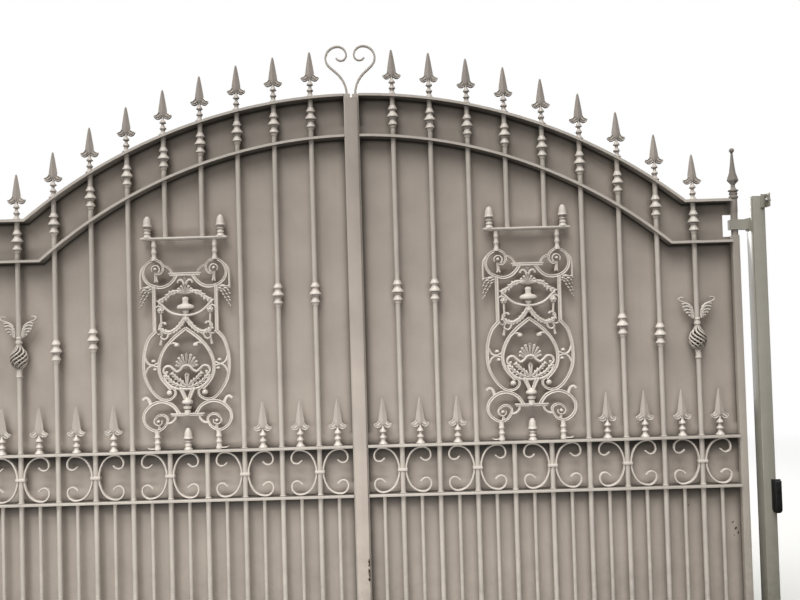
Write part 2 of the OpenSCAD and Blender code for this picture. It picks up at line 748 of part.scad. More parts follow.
// Safety photocell: a back box and a narrower cover, both rounded at the bottom
module photocell() {
    translate([post_x + post_w - cell_side, -post_front, mid_z - cell_drop]) {
        cell_half(cell_w / 2, 0, cell_back);
        cell_half(cell_w / 2 - cell_side, cell_back - 1, cell_d);
    }
}
module cell_half(r, y0, y1) {
    translate([0, -y0, -cell_h / 2 + cell_w / 2])
        rotate([90, 0, 0])
            linear_extrude(height = y1 - y0)
                union() {
                    circle(r = r);
                    translate([-r, 0]) square([2 * r, cell_h - cell_w / 2 - (cell_w / 2 - r)]);
                }
}

right() post();  // right_post
left() post();  // left_post
right() strap();  // right_strap
left() strap();  // left_strap
right() heel();  // right_heel
left() heel();  // left_heel
right() cleats();  // right_cleats
left() cleats();  // left_cleats
right(black) photocell();  // right_photocell
left(black) photocell();  // left_photocell
right() hinge_stile();  // right_hinge_stile
left() hinge_stile();  // left_hinge_stile
right() meeting_stile(-meet_front, rail_back);  // right_meeting_stile
left() meeting_stile(lap_back, rail_back);  // left_meeting_stile
right() top_rail();  // right_top_rail
left() top_rail();  // left_top_rail
right() arch_rail();  // right_arch_rail
left() arch_rail();  // left_arch_rail
right() level_rail(mid_z);  // right_mid_rail
left() level_rail(mid_z);  // left_mid_rail
right() level_rail(low_z);  // right_low_rail
left() level_rail(low_z);  // left_low_rail
right() plain_rail(bottom_z);  // right_bottom_rail
left() plain_rail(bottom_z);  // left_bottom_rail
right() full_bars();  // right_full_bars
left() full_bars();  // left_full_bars
right() short_bars();  // right_short_bars
left() short_bars();  // left_short_bars
right() sheet();  // right_sheet
left() sheet();  // left_sheet
right() scroll_band();  // right_scroll_band
left() scroll_band();  // left_scroll_band
right() railheads();  // right_railheads
left() railheads();  // left_railheads
right() band_heads();  // right_band_heads
left() band_heads();  // left_band_heads
right() collars();  // right_collars
left() collars();  // left_collars
right() basket();  // right_basket
left() basket();  // left_basket
right() cast_panel();  // right_cast_panel
left() cast_panel();  // left_cast_panel
right() top_scroll();  // right_top_scroll
left() top_scroll();  // left_top_scroll
left() closing_bar();
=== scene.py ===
import math

import bmesh
import bpy
from mathutils import Matrix, Vector


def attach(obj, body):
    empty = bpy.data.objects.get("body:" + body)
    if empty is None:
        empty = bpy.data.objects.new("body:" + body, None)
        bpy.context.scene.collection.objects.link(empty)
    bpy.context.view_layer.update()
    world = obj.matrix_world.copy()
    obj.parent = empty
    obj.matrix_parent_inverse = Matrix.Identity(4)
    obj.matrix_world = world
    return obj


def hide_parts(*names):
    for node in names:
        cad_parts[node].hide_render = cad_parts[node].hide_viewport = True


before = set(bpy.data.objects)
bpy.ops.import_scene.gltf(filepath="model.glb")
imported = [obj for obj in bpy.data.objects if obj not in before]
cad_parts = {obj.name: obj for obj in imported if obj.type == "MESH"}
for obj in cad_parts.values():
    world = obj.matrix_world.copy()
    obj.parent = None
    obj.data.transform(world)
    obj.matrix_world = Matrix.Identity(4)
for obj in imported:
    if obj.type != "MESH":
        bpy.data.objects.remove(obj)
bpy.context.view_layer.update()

# Camera. A 45 mm lens 4 m in front of the road side, a little above the band of scrolls and
# right of the gate's middle, with the slight lean of a camera held in the hand.
EYE = (-1.418, -4.006, 1.313)
TURN, TIP, LEAN = 0.251, 1.768, 1.659
camera = bpy.data.objects.new("camera", bpy.data.cameras.new("camera"))
bpy.context.scene.collection.objects.link(camera)
camera.data.lens = 45
camera.data.sensor_width = 36
camera.data.clip_end = 200
look = Matrix.Identity(3)
for degrees, axis in ((TURN, "Z"), (TIP, "X"), (LEAN, "Y")):
    look = look @ Matrix.Rotation(math.radians(degrees), 3, axis)
right, ahead, up = look.col
axes = Matrix([(right[i], up[i], -ahead[i]) for i in range(3)]).to_4x4()
camera.matrix_world = Matrix.Translation(EYE) @ axes
bpy.context.scene.camera = camera
bpy.context.scene.view_settings.view_transform = "Standard"

# Studio. A pale floor that fades to white round the gate, an even surround that shows white
# behind it, and soft lamps: two like an overcast sky, a low strip in front and one behind.


def linear(code):
    """A hex colour as the eye reads it, turned to linear light."""
    parts = [int(code[i : i + 2], 16) / 255 for i in (1, 3, 5)]
    return [c / 12.92 if c < 0.04045 else ((c + 0.055) / 1.055) ** 2.4 for c in parts] + [1]


def node(tree, kind, feeds=None, **settings):
    """Adds a node; each input takes a value, a socket, or a node for its first live output."""
    made = tree.nodes.new("ShaderNode" + kind)
    for name, value in settings.items():
        setattr(made, name, value)
    for name, value in (feeds or {}).items():
        if isinstance(value, bpy.types.Node):
            value = next(out for out in value.outputs if out.enabled)
        if isinstance(value, bpy.types.NodeSocket):
            tree.links.new(value, made.inputs[name])
        else:
            made.inputs[name].default_value = value
    return made


def sums(tree, operation, *values):
    """Arithmetic on one value or two."""
    return node(tree, "Math", dict(enumerate(values)), operation=operation)


def remap(tree, value, start, end, low=0, high=1):
    """Turns a value that runs from start to end into one that runs from low to high."""
    feeds = {"Value": value, "From Min": start, "From Max": end, "To Min": low, "To Max": high}
    return node(tree, "MapRange", feeds)


def blend(tree, factor, first, second):
    """Goes from the first colour to the second."""
    return node(tree, "Mix", {"Factor": factor, "A": first, "B": second}, data_type="RGBA")


WHITE = (1, 1, 1, 1)
world = bpy.data.worlds.new("surround")
bpy.context.scene.world = world
world.use_nodes = True
sky = world.node_tree
sky.nodes.clear()
rays = node(sky, "LightPath").outputs
near = sums(sky, "MAXIMUM", rays["Is Camera Ray"], rays["Is Transmission Ray"])
seen = sums(sky, "MAXIMUM", near, rays["Is Glossy Ray"])
soft = node(sky, "Background", {"Color": linear("#eef1f4"), "Strength": 0.02})
white = node(sky, "Background", {"Color": WHITE, "Strength": 1.0})
both = node(sky, "MixShader", {0: seen, 1: soft, 2: white})
node(sky, "OutputWorld", {"Surface": both})

bm = bmesh.new()
bmesh.ops.create_circle(bm, cap_ends=True, segments=64, radius=14)
bmesh.ops.translate(bm, vec=(-1.61, 0, -0.001), verts=bm.verts)
floor = bpy.data.objects.new("floor", bpy.data.meshes.new("floor"))
bm.to_mesh(floor.data)
bm.free()
bpy.context.scene.collection.objects.link(floor)
ground = bpy.data.materials.new("pale studio floor")
ground.use_nodes = True
tree = ground.node_tree
tree.nodes.clear()
where = node(tree, "NewGeometry").outputs["Position"]
apart = node(tree, "VectorMath", {0: where, 1: (-1.61, 0, 0)}, operation="DISTANCE")
fade = remap(tree, apart, 2.5, 9.0)
rays = node(tree, "LightPath").outputs
near = sums(tree, "MAXIMUM", rays["Is Camera Ray"], rays["Is Transmission Ray"])
seen = sums(tree, "MULTIPLY", near, fade)
# the lens sees a pale floor, the gate is lit by a darker one, as by a road
shown, lit_by = linear("#e4e4e2"), linear("#42413f")
tone = blend(tree, near, lit_by, shown)
matt = node(tree, "BsdfDiffuse", {"Color": tone.outputs["Result"]})
white = node(tree, "Emission", {"Color": WHITE, "Strength": 1.0})
both = node(tree, "MixShader", {0: seen, 1: matt, 2: white})
node(tree, "OutputMaterial", {"Surface": both})
floor.data.materials.append(ground)


def lamp(name, kind, place, target, power, spread, tall=None):
    """Soft lamp aimed at a target; spread is a distant one's angle or a near one's side in m."""
    light = bpy.data.lights.new(name, kind)
    light.energy = power
    light.color = (1.0, 0.995, 0.975)
    if kind == "SUN":
        light.angle = math.radians(spread)
    else:
        light.shape = "RECTANGLE"
        light.size = spread
        light.size_y = tall or spread
    holder = bpy.data.objects.new(name, light)
    aim = Vector(target) - Vector(place)
    facing = aim.to_track_quat("-Z", "Y").to_matrix().to_4x4()
    holder.matrix_world = Matrix.Translation(place) @ facing
    holder.visible_camera = False
    bpy.context.scene.collection.objects.link(holder)


HEART = (-1.6, 0, 1.2)
lamp("overhead sky", "SUN", (-2.8, -1.7, 6.2), HEART, 1.6, 50)
lamp("front sky", "SUN", (-2.6, -4.2, 6.2), HEART, 1.5, 40)
lamp("low strip light", "AREA", (-2.0, -1.4, 0.55), (-1.9, 0, 0.75), 16.5, 3.6, 0.5)
lamp("back soft box", "AREA", (-1.2, 5.5, 4.2), HEART, 250, 3.5)

# Posts. Steel box section 80 by 50 mm with rounded corners and a welded cap, finished in the
# gate's stone grey paint; they stand on the ground and every hinge part is welded to them.
# Shapes are drawn in mm from the gate's middle, which is MIDDLE in metres; both arched rails
# are bent about a centre ARC_Z mm high there.
MIDDLE = Vector((-1.610, 0.020, 0.0))
ARC_Z = 154


def noise(tree, where, scale, detail, roughness=0.5):
    """Cloudy pattern whose clouds are 1/scale m across, with finer ones in them."""
    feeds = {"Vector": where, "Scale": scale, "Detail": detail, "Roughness": roughness}
    return node(tree, "TexNoise", feeds)


def ramp(tree, source, *stops):
    """Colours a pattern from one (position, colour) stop to the next."""
    made = node(tree, "ValToRGB", {"Fac": source})
    for stop, (position, colour) in zip(made.color_ramp.elements, stops):
        stop.position = position
        stop.color = colour
    return made


def distance(tree, here, x, z, across, upward):
    """Distance from a point in the plane of the gate, each way stretched by its factor."""
    far = node(tree, "VectorMath", {0: here, 1: (across, 0, upward)}, operation="MULTIPLY")
    spot = (x * across, 0, z * upward)
    return node(tree, "VectorMath", {0: far, 1: spot}, operation="DISTANCE")


def shade_on_sheet(tree, here, place, seams, shade_patches):
    """Painted shadow on the sheet's front under rails and behind castings; less hollow shade above rails.
    """
    # only on the front, which stands at Y 0.057 m
    front = remap(tree, place["Y"], 0.0574, 0.0566)
    across = sums(tree, "ADD", place["X"], -MIDDLE.x)
    square = sums(tree, "MULTIPLY", across, across)
    masks, shade_lifts = [], []
    # a rail is a level line, or the arch above it; painted shadow is full close below and ends at reach
    for radius, level, full, reach in seams:
        rest = sums(tree, "SUBTRACT", radius * radius, square)
        rise = sums(tree, "SQRT", rest)
        arc = sums(tree, "ADD", rise, ARC_Z / 1000)
        line = sums(tree, "MAXIMUM", arc, level)
        down = sums(tree, "SUBTRACT", line, place["Z"])
        band = remap(tree, down, reach, full, 0, 0.95)
        below = remap(tree, down, 0.0, 0.006)
        masks.append(sums(tree, "MULTIPLY", band, below))
        # the painted hollow shade is weakened over the 40 mm above the rail
        over = sums(tree, "ADD", down, 0.022)
        over = sums(tree, "ABSOLUTE", over)
        shade_lifts.append(remap(tree, over, 0.020, 0.032, 0.25, 1.0))
    # round patches of painted shade behind the baskets and the cast panels
    for x, z, wide, high, most in shade_patches:
        masks.append(remap(tree, distance(tree, here, x, z, 1 / wide, 1 / high), 1.1, 0.75, 0, most))
    return [sums(tree, "MULTIPLY", m, front) for m in masks], shade_lifts


def painted(
    name, shade, worn=0.60, streak=0.1, damp=0.4, gloss=0.5, shade_reach=0.022, own=True,
    ledge=0.0, under=0.0, fade=(1, 1), scars=(), seams=(), shade_patches=(),
):
    """Brushed oil paint on steel: uneven tone, rain streaks, chips, rust spots, painted shade and light.
    """
    # worn is lower where more rust shows; streak, damp, ledge and under say how strong streaks,
    # algae, dirt with painted shade on level faces, and painted shade on undersides are; the shade
    # reach is how far in m painted shade reaches out of hollows, with own only the piece's own ones;
    # fade is the tone at the top and at the foot, a painted shade and a painted light
    made = bpy.data.materials.new(f"stone grey {name}")
    made.use_nodes = True
    tree = made.node_tree
    shader = tree.nodes["Principled BSDF"]
    shader.inputs["Metallic"].default_value = 0
    shader.inputs["IOR"].default_value = 1.48
    shader.inputs["Specular IOR Level"].default_value = 0.3 if gloss > 0.4 else 0.5
    here = node(tree, "TexCoord").outputs["Object"]
    place = node(tree, "SeparateXYZ", {"Vector": here}).outputs
    # clouds of tone about 150 mm across, where coats lie thicker
    cloud = noise(tree, here, 6.5, 4, 0.55)
    thin, thick = [[c * depth for c in linear(shade)[:3]] + [1] for depth in (0.90, 1.07)]
    tone = ramp(tree, cloud, (0.3, thin), (0.72, thick))
    # painted shade darkens flat faces near the top and painted light pales them near the foot
    film_and_height_shade = remap(tree, place["Z"], 2.2, 0.4, *fade)
    coat = node(tree, "VectorMath", {0: tone, "Scale": film_and_height_shade}, operation="SCALE")
    # rain streaks 8 to 30 mm wide that run down the faces
    down = node(tree, "Mapping", {"Vector": here, "Scale": (42, 42, 1.6)})
    wash = noise(tree, down, 1.0, 5, 0.6)
    run = remap(tree, wash, 0.5, 0.78, 0, streak)
    grimy = blend(tree, run, coat, linear("#6f685c"))
    # painted shade darkens hollows and undersides, and dirt with painted shade darkens level faces
    hollow = node(tree, "AmbientOcclusion", {"Distance": shade_reach}, samples=6, only_local=own).outputs["AO"]
    start, end = (0.72, 0.3) if own else (0.9, 0.4)
    deep = remap(tree, hollow, start, end, 0, 0.95)
    facing = node(tree, "SeparateXYZ", {"Vector": node(tree, "NewGeometry").outputs["Normal"]})
    level = sums(tree, "ABSOLUTE", facing.outputs["Z"])
    shelf = remap(tree, level, 0.6, 0.95, 0, ledge)
    below = remap(tree, facing.outputs["Z"], -0.15, -0.8, 0, under)
    shelf = sums(tree, "MAXIMUM", below, shelf)
    # painted shadow on the sheet under the rails and behind the castings
    masks, shade_lifts = shade_on_sheet(tree, here, place, seams, shade_patches) if seams else ([], [])
    for shade_lift in shade_lifts:
        deep = sums(tree, "MULTIPLY", deep, shade_lift)
    grime_and_shade = sums(tree, "MAXIMUM", deep, shelf)
    for mask in masks:
        grime_and_shade = sums(tree, "MAXIMUM", grime_and_shade, mask)
    dirt_and_shade = blend(tree, grime_and_shade, grimy, linear("#2e2922"))
    # algae in patches of 20 to 40 mm near the ground
    low = remap(tree, place["Z"], 0.55, 0.0, 0, damp)
    patch = noise(tree, here, 28, 6, 0.62)
    spread = remap(tree, patch, 0.4, 0.7)
    wet = sums(tree, "MULTIPLY", low, spread)
    mossy = blend(tree, wet, dirt_and_shade, linear("#59584a"))
    # rust breaks through in spots of 2 to 6 mm, each with a brown stain round it
    spot = noise(tree, here, 95, 3, 0.6)
    group = noise(tree, here, 9, 2)
    joined = sums(tree, "MULTIPLY", spot, group)
    stain = remap(tree, joined, worn - 0.035, worn + 0.01, 0, 0.45)
    chip = remap(tree, joined, worn, worn + 0.006)
    # knocks: chips with a ragged rim at given places, taller than wide
    ragged = remap(tree, spot, 0, 1, -0.012, 0.012)
    for x, z, reach in scars:
        rim = sums(tree, "ADD", distance(tree, here, x, z, 1.7, 1), ragged)
        scar = remap(tree, rim, reach, reach * 0.5)
        chip = sums(tree, "MAXIMUM", chip, scar)
    tinted = blend(tree, stain, mossy, linear("#8c6a4c"))
    flake = noise(tree, here, 600, 4)
    rust = ramp(tree, flake, (0.35, linear("#1f1611")), (0.7, linear("#5e3a24")))
    final = blend(tree, chip, tinted, rust)
    tree.links.new(final.outputs["Result"], shader.inputs["Base Color"])
    sheen = remap(tree, cloud, 0.3, 0.7, gloss - 0.06, gloss + 0.08)
    rough = node(tree, "Mix", {"Factor": chip, "A": sheen, "B": 0.9})
    tree.links.new(rough.outputs["Result"], shader.inputs["Roughness"])
    # brush marks about 3 mm apart, over a coarser unevenness of the coat, and sunken chips
    brush = noise(tree, here, 330, 3)
    uneven = noise(tree, here, 60, 2)
    lift = sums(tree, "MULTIPLY", brush, 0.4)
    raised = sums(tree, "ADD", uneven, lift)
    pit = sums(tree, "SUBTRACT", raised, chip)
    relief = node(tree, "Bump", {"Height": pit, "Strength": 0.35, "Distance": 0.0008})
    tree.links.new(relief.outputs[0], shader.inputs["Normal"])
    return made


# one stone grey paint on the whole gate: glossier and cooler on the posts, painted paler on rounds
# than on flats as a painted highlight, and darkened on the level faces of the rails by dirt and
# painted shade
post_paint = painted("gloss paint on box section", "#a8a498", streak=0.12, gloss=0.17)
steel_paint = painted("gloss paint on square and flat bar", "#c4bbb1")
bar_paint = painted("gloss paint on round bar", "#d8cfc5")
rail_paint = painted("gloss paint on sooty flat bar", "#dad1c7", shade_reach=0.04, own=False, ledge=0.85)


def hang(bm, name, side, body, slot, paint, *stands_for):
    """Takes a drawn shape to its place on one side of the gate, in one coat or a list of coats."""
    flip = Matrix.Diagonal((-1, 1, 1, 1)) if side == "left" else Matrix.Identity(4)
    scale = Matrix.Scale(0.001, 4)
    bmesh.ops.transform(bm, matrix=Matrix.Translation(MIDDLE) @ scale @ flip, verts=bm.verts)
    bmesh.ops.recalc_face_normals(bm, faces=bm.faces)
    mesh = bpy.data.meshes.new(f"{side}_{name}")
    bm.to_mesh(mesh)
    bm.free()
    for face in mesh.polygons:
        face.use_smooth = True
    mesh.set_sharp_from_angle(angle=math.radians(38))
    for coat in paint if isinstance(paint, list) else [paint]:
        mesh.materials.append(coat)
    piece = bpy.data.objects.new(f"{side}_{name}", mesh)
    bpy.context.scene.collection.objects.link(piece)
    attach(piece, body)
    if stands_for:
        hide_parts(*[f"{side}_{n}" for n in stands_for])
    return piece


def both_sides(bm, name, slot, paint, *stands_for, fixed=False):
    """Hangs a shape on the right and its mirror image on the left."""
    other = bm.copy()
    hang(bm, name, "right", "posts" if fixed else "right_leaf", slot, paint, *stands_for)
    hang(other, name, "left", "posts" if fixed else "left_leaf", slot, paint, *stands_for)


def block(bm, low, high, bevel):
    """Bar or plate between two corners, with its edges rounded over."""
    made = bmesh.ops.create_cube(bm, size=1)["verts"]
    size = Vector(high) - Vector(low)
    place = Matrix.Translation((Vector(low) + Vector(high)) / 2) @ Matrix.Diagonal(size.to_4d())
    bmesh.ops.transform(bm, matrix=place, verts=made)
    edges = list({e for v in made for e in v.link_edges})
    if bevel:
        bmesh.ops.bevel(bm, geom=edges, offset=bevel, segments=2, profile=0.5, affect="EDGES", material=-1)


def skin(bm, loops):
    """Draws a closed outline through its stations and closes both ends."""
    ring = [bm.verts.new(p) for p in loops[0]]
    edges = [bm.edges.new((ring[i - 1], ring[i])) for i in range(len(ring))]
    bmesh.ops.contextual_create(bm, geom=edges)
    for loop in loops[1:]:
        fresh = bmesh.ops.extrude_edge_only(bm, edges=edges)["geom"]
        old = set(ring)
        step = {}
        for v in [g for g in fresh if isinstance(g, bmesh.types.BMVert)]:
            for e in v.link_edges:
                if e.other_vert(v) in old:
                    step[e.other_vert(v)] = v
        ring = [step[v] for v in ring]
        for vert, place in zip(ring, loop):
            vert.co = place
        new = set(ring)
        edges = [g for g in fresh if isinstance(g, bmesh.types.BMEdge)]
        edges = [e for e in edges if e.verts[0] in new and e.verts[1] in new]
    bmesh.ops.contextual_create(bm, geom=edges)


def bead(bm, points, size):
    """Rippled weld bead from the first point to the last."""
    loops = []
    start, end = Vector(points[0]), Vector(points[-1])
    length = (end - start).length
    axis = (end - start).normalized()
    across = axis.orthogonal().normalized()
    over = axis.cross(across)
    steps = max(4, int(length / 1.6))
    turns = [j * math.pi / 3 for j in range(6)]
    for i in range(steps + 1):
        r = size * (0.72 + 0.28 * abs(math.sin(i * 1.25))) * (0.55 if i in (0, steps) else 1)
        centre = start.lerp(end, i / steps)
        loops.append([centre + r * (math.cos(a) * across + math.sin(a) * over) for a in turns])
    skin(bm, loops)


POST_X, POST_H = 1585, 1808
bm = bmesh.new()
block(bm, (POST_X, -60, 0), (POST_X + 50, 20, POST_H - 3), 4)
block(bm, (POST_X + 0.6, -59.4, POST_H - 5), (POST_X + 49.4, 19.4, POST_H), 1.5)
both_sides(bm, "post_box_section", "post_paint", post_paint, "post", fixed=True)

# Hinge straps and heels. Thick flat wrapped round the hinge pin and welded to the post through
# a plate, and a heel bracket below that carries the pivot; the wrap shows a rounded nose.
STRAP_Z = 1701
bm = bmesh.new()
for z in (STRAP_Z - 24.5, STRAP_Z + 24.5):
    bead(bm, [(POST_X - 1, -20, z), (POST_X - 1, 20, z)], 2.2)
for y in (-19.5, 19.5):
    bead(bm, [(POST_X - 5.5, y, STRAP_Z - 19), (POST_X - 5.5, y, STRAP_Z + 19)], 2.2)
bead(bm, [(POST_X - 1, -18, 32), (POST_X - 1, 18, 32)], 2.4)
both_sides(bm, "hinge_weld", "post_paint", post_paint, fixed=True)
for side in ("right", "left"):
    for name in ("strap", "heel", "cleats"):
        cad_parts[f"{side}_{name}"].data.materials[0] = post_paint

# Cleats. Angle lugs that tie each post to the masonry, each with a zinc plated anchor bolt and
# washer through its forward leg.
zinc = bpy.data.materials.new("dull zinc plated steel")
zinc.use_nodes = True
tree = zinc.node_tree
shader = tree.nodes["Principled BSDF"]
# dull grey metal, its white bloom mottled about 4 mm across
here = node(tree, "TexCoord").outputs["Object"]
bloom = noise(tree, here, 240, 4)
tone = ramp(tree, bloom, (0, linear("#6f6f6a")), (1, linear("#b9bab4")))
tree.links.new(tone.outputs[0], shader.inputs["Base Color"])
shader.inputs["Metallic"].default_value = 0.9
shader.inputs["Roughness"].default_value = 0.5


def rod(bm, sides, low_radius, high_radius, length):
    """Upright rod about the origin, round or six-sided; gives its corners."""
    return bmesh.ops.create_cone(
        bm, cap_ends=True, segments=sides, radius1=low_radius, radius2=high_radius, depth=length
    )["verts"]


def bolt(bm, place, radius, length):
    """Hexagon head with a washer under it, its shank along X."""
    turn = Matrix.Translation(place) @ Matrix.Rotation(math.pi / 2, 4, "Y")
    for r, low, high, sides in ((radius * 1.25, 0, 2, 24), (radius, 2, 9, 6), (5, -length, 0, 16)):
        end = r * 0.94 if sides == 6 else r
        made = rod(bm, sides, r, end, high - low)
        bmesh.ops.transform(bm, matrix=turn @ Matrix.Translation((0, 0, (low + high) / 2)), verts=made)


bm = bmesh.new()
for z in (180, POST_H - 21):
    bolt(bm, (POST_X + 45, -87, z), 9, 12)
# turned about, so that each head faces inwards and its shank runs out into the masonry
for v in bm.verts:
    v.co.x = 2 * (POST_X + 45) - v.co.x + 5
both_sides(bm, "anchor_bolts", "post_paint", zinc, fixed=True)

# Photocells. Black moulded housings with a rounded foot on the front of each post: a back box,
# a narrower cover with a sensor window, and a short cable gland below.
cell = bpy.data.materials.new("black ABS housing")
cell.use_nodes = True
tree = cell.node_tree
shader = tree.nodes["Principled BSDF"]
# nearly black and half matt: a film of dust in patches of 20 mm, a moulded grain of 1 mm
here = node(tree, "TexCoord").outputs["Object"]
fine = noise(tree, here, 900, 2)
dust = noise(tree, here, 45, 5)
film_and_height_shade = ramp(tree, dust, (0.35, linear("#0c0c0d")), (0.8, linear("#201f1d")))
tree.links.new(film_and_height_shade.outputs[0], shader.inputs["Base Color"])
shader.inputs["Roughness"].default_value = 0.5
shader.inputs["Specular IOR Level"].default_value = 0.2
grain = node(tree, "Bump", {"Height": fine, "Strength": 0.25, "Distance": 0.0004})
tree.links.new(grain.outputs[0], shader.inputs["Normal"])


def rounded_foot(bm, x, z, half, rise, front, back, bevel):
    """Housing with a half-round foot, between two depths, its front rim eased."""
    turns = [math.pi * (1 + i / 12) for i in range(13)]
    outline = [(x + half * math.cos(a), z + half * math.sin(a)) for a in turns]
    outline += [(x + half, z + rise), (x - half, z + rise)]
    face = bm.faces.new([bm.verts.new((px, back, pz)) for px, pz in outline])
    made = bmesh.ops.extrude_face_region(bm, geom=[face])["geom"]
    verts = [g for g in made if isinstance(g, bmesh.types.BMVert)]
    bmesh.ops.translate(bm, vec=(0, front - back, 0), verts=verts)
    rim = [g for g in made if isinstance(g, bmesh.types.BMEdge)]
    bmesh.ops.bevel(bm, geom=rim, offset=bevel, segments=3, profile=0.5, affect="EDGES", material=-1)


CELL_Z = 621
bm = bmesh.new()
centre = POST_X + 47
rounded_foot(bm, centre, CELL_Z - 49, 17, 115, -72, -60, 2)
rounded_foot(bm, centre, CELL_Z - 49, 14, 111, -91.5, -71, 5)
block(bm, (centre - 9, -92, CELL_Z + 12), (centre + 9, -90, CELL_Z + 44), 0.8)
both_sides(bm, "photocell_housing", "cell_plastic", cell, "photocell", fixed=True)

# Hinge stiles. Square bar 30 mm, turned down to a round pin where the strap runs round it, with
# a loose sleeve over the pin and a forged spear with a cup tip above.


def join(bm, part):
    """Adds a finished part to a shape."""
    spare = bpy.data.meshes.new("spare")
    part.to_mesh(spare)
    part.free()
    bm.from_mesh(spare)
    bpy.data.meshes.remove(spare)


def lathe(bm, rows, place=(0, 0, 0), sides=24, squash=1.0):
    """Turned or cast round form from (radius, height) rows, spun about a vertical axis."""
    part = bmesh.new()
    verts = [part.verts.new((r, 0, z)) for r, z in rows]
    for a, b in zip(verts, verts[1:]):
        part.edges.new((a, b))
    bmesh.ops.spin(
        part, geom=part.verts[:] + part.edges[:], cent=(0, 0, 0), axis=(0, 0, 1), angle=2 * math.pi,
        steps=sides, use_merge=True, use_duplicate=False,
    )
    bmesh.ops.remove_doubles(part, verts=part.verts, dist=0.001)
    shape = Matrix.Translation(place) @ Matrix.Diagonal((1, squash, 1, 1))
    bmesh.ops.transform(part, matrix=shape, verts=part.verts)
    join(bm, part)


def ridge(bm, rows):
    """Four-sided forging with eased corners, through (height, half width, half depth) rows."""
    loops = []
    for z, w, d in rows:
        corners = [Vector((w, 0, z)), Vector((0, d, z)), Vector((-w, 0, z)), Vector((0, -d, z))]
        ring = []
        for a, b in zip(corners, corners[1:] + corners[:1]):
            ring.append(a)
            ring.append((a + b) / 2 + ((a + b) / 2 - Vector((0, 0, z))) * 0.05)
        loops.append(ring)
    skin(bm, loops)


HINGE_X, SLEEVE_Z, PIN_LOW, SHOULDER_Z = 1530, 1748, 1659, 1801
bm = bmesh.new()
block(bm, (HINGE_X - 15, -15, 50), (HINGE_X + 15, 15, PIN_LOW), 2.5)
lathe(bm, [(0, PIN_LOW - 3), (14, PIN_LOW - 3), (14, SLEEVE_Z + 3), (0, SLEEVE_Z + 3)], (HINGE_X, 0, 0))
lathe(
    bm, [(0, SLEEVE_Z), (12, SLEEVE_Z), (13.8, SLEEVE_Z + 1.5), (15, SLEEVE_Z + 5),
    (15, SHOULDER_Z + 4), (14, SHOULDER_Z + 6), (0, SHOULDER_Z + 6)], (HINGE_X, 0, 0)
)
lathe(bm, [(0, 32), (10, 32), (10, 52), (0, 52)], (HINGE_X, 0, 0))
top = SHOULDER_Z + 6
lathe(
    bm, [(0, -4), (15, -4), (16, 0), (18.6, 2), (19, 5), (18.6, 8), (15.5, 11), (15.2, 16), (16.8, 18),
    (17, 20), (16.6, 22), (15, 24), (15, 27), (20.6, 30), (21, 32), (20.6, 34), (13, 38), (9, 46),
    (8, 60), (0, 60)], (HINGE_X, 0, top)
)
part = bmesh.new()
ridge(
    part, [(48, 7, 7), (58, 10, 10), (72, 23.6, 23.6), (74, 24, 24), (79, 22.5, 22.5),
    (105, 13.5, 13.5), (145, 8, 8), (180, 4.8, 4.8), (190, 4.5, 4.5)]
)
bmesh.ops.translate(part, vec=(HINGE_X, 0, top), verts=part.verts)
join(bm, part)
lathe(
    bm, [(0, 184), (4, 184), (8, 189), (10.2, 193), (10.5, 197), (8.5, 201), (5, 203.5), (0, 204)],
    (HINGE_X, 0, top), 16
)
# painted shade: darker than other flats and darkest at the top; painted light at the foot
stile_paint = painted("gloss paint on the shaded hinge stiles", "#bab1a7", fade=(0.62, 1.2))
both_sides(bm, "hinge_stile_bar", "steel_paint", stile_paint, "hinge_stile")

# Meeting stiles and closing bar. Flat bars where the leaves meet; the left one carries a 50 mm
# closing bar on its front that laps the right leaf. Its edges are chipped and rusty low down.
CROWN_Z, BOTTOM_Z, MID_Z, LOW_Z = 2271, 66, 856, 660
for side, front in (("right", -12.5), ("left", -21.5)):
    bm = bmesh.new()
    block(bm, (4, front, BOTTOM_Z - 6), (30, 36, CROWN_Z + 5.5), 1.5)
    hang(bm, "meeting_stile_bar", side, f"{side}_leaf", "steel_paint", steel_paint, "meeting_stile")
# a column of knocks 10 mm across on one edge, as (x, z, reach) in metres
WORN_EDGE = [
    (-1.589, 0.402, 0.010), (-1.586, 0.388, 0.009), (-1.588, 0.364, 0.012), (-1.586, 0.348, 0.010),
    (-1.588, 0.332, 0.011),
]
# a painted shade near the top of the closing bar and a painted light near its foot
closing_paint = painted(
    "paint on the worn closing bar", "#c6bab0", scars=WORN_EDGE, fade=(0.76, 1.28)
)
bm = bmesh.new()
block(bm, (-25, -29.5, BOTTOM_Z - 6), (25, -21.5, CROWN_Z - 12), 1.8)
piece = hang(bm, "closing_bar_flat", "left", "left_leaf", "steel_paint", closing_paint)
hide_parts("closing_bar")

# Arched and level rails. Flat bar 60 by 12 mm on edge, the two upper ones bent along the arch
# and cranked level at the hinge side; the bars pass through them and are welded.


def stations(points, wide, deep, profile):
    """Cross-sections of a strip that runs through points in the plane of the gate."""
    last = len(points) - 1
    loops = []
    for i, point in enumerate(points):
        here = Vector(point)
        before = (here - Vector(points[i - 1])).normalized() if i else None
        after = (Vector(points[i + 1]) - here).normalized() if i < last else None
        before, after = before or after, after or before
        along = (before + after).normalized()
        side = Vector((-along.y, along.x)) / max(along.dot(after), 0.7)
        w = wide[0] + (wide[1] - wide[0]) * i / last
        d = deep[0] + (deep[1] - deep[0]) * i / last
        loops.append(
            [(here.x + side.x * u * w / 2, v * d / 2, here.y + side.y * u * w / 2) for u, v in profile]
        )
    return loops


FLAT = [(-1, -0.92), (-1, 0.92), (-0.82, 1), (0.82, 1), (1, 0.92), (1, -0.92), (0.82, -1), (-0.82, -1)]
TOP_R, ARCH_R, SHOULDER_2 = 2117, 1952, 1636
# a rail's depth from front to back, and how far its middle is behind the middle of the bars
REACH, DEPTH_MID = 61, 5.5


def height(x, radius, shoulder):
    """Height of an arched rail's middle at a distance from the middle of the gate."""
    return max(ARC_Z + math.sqrt(radius * radius - x * x), shoulder)


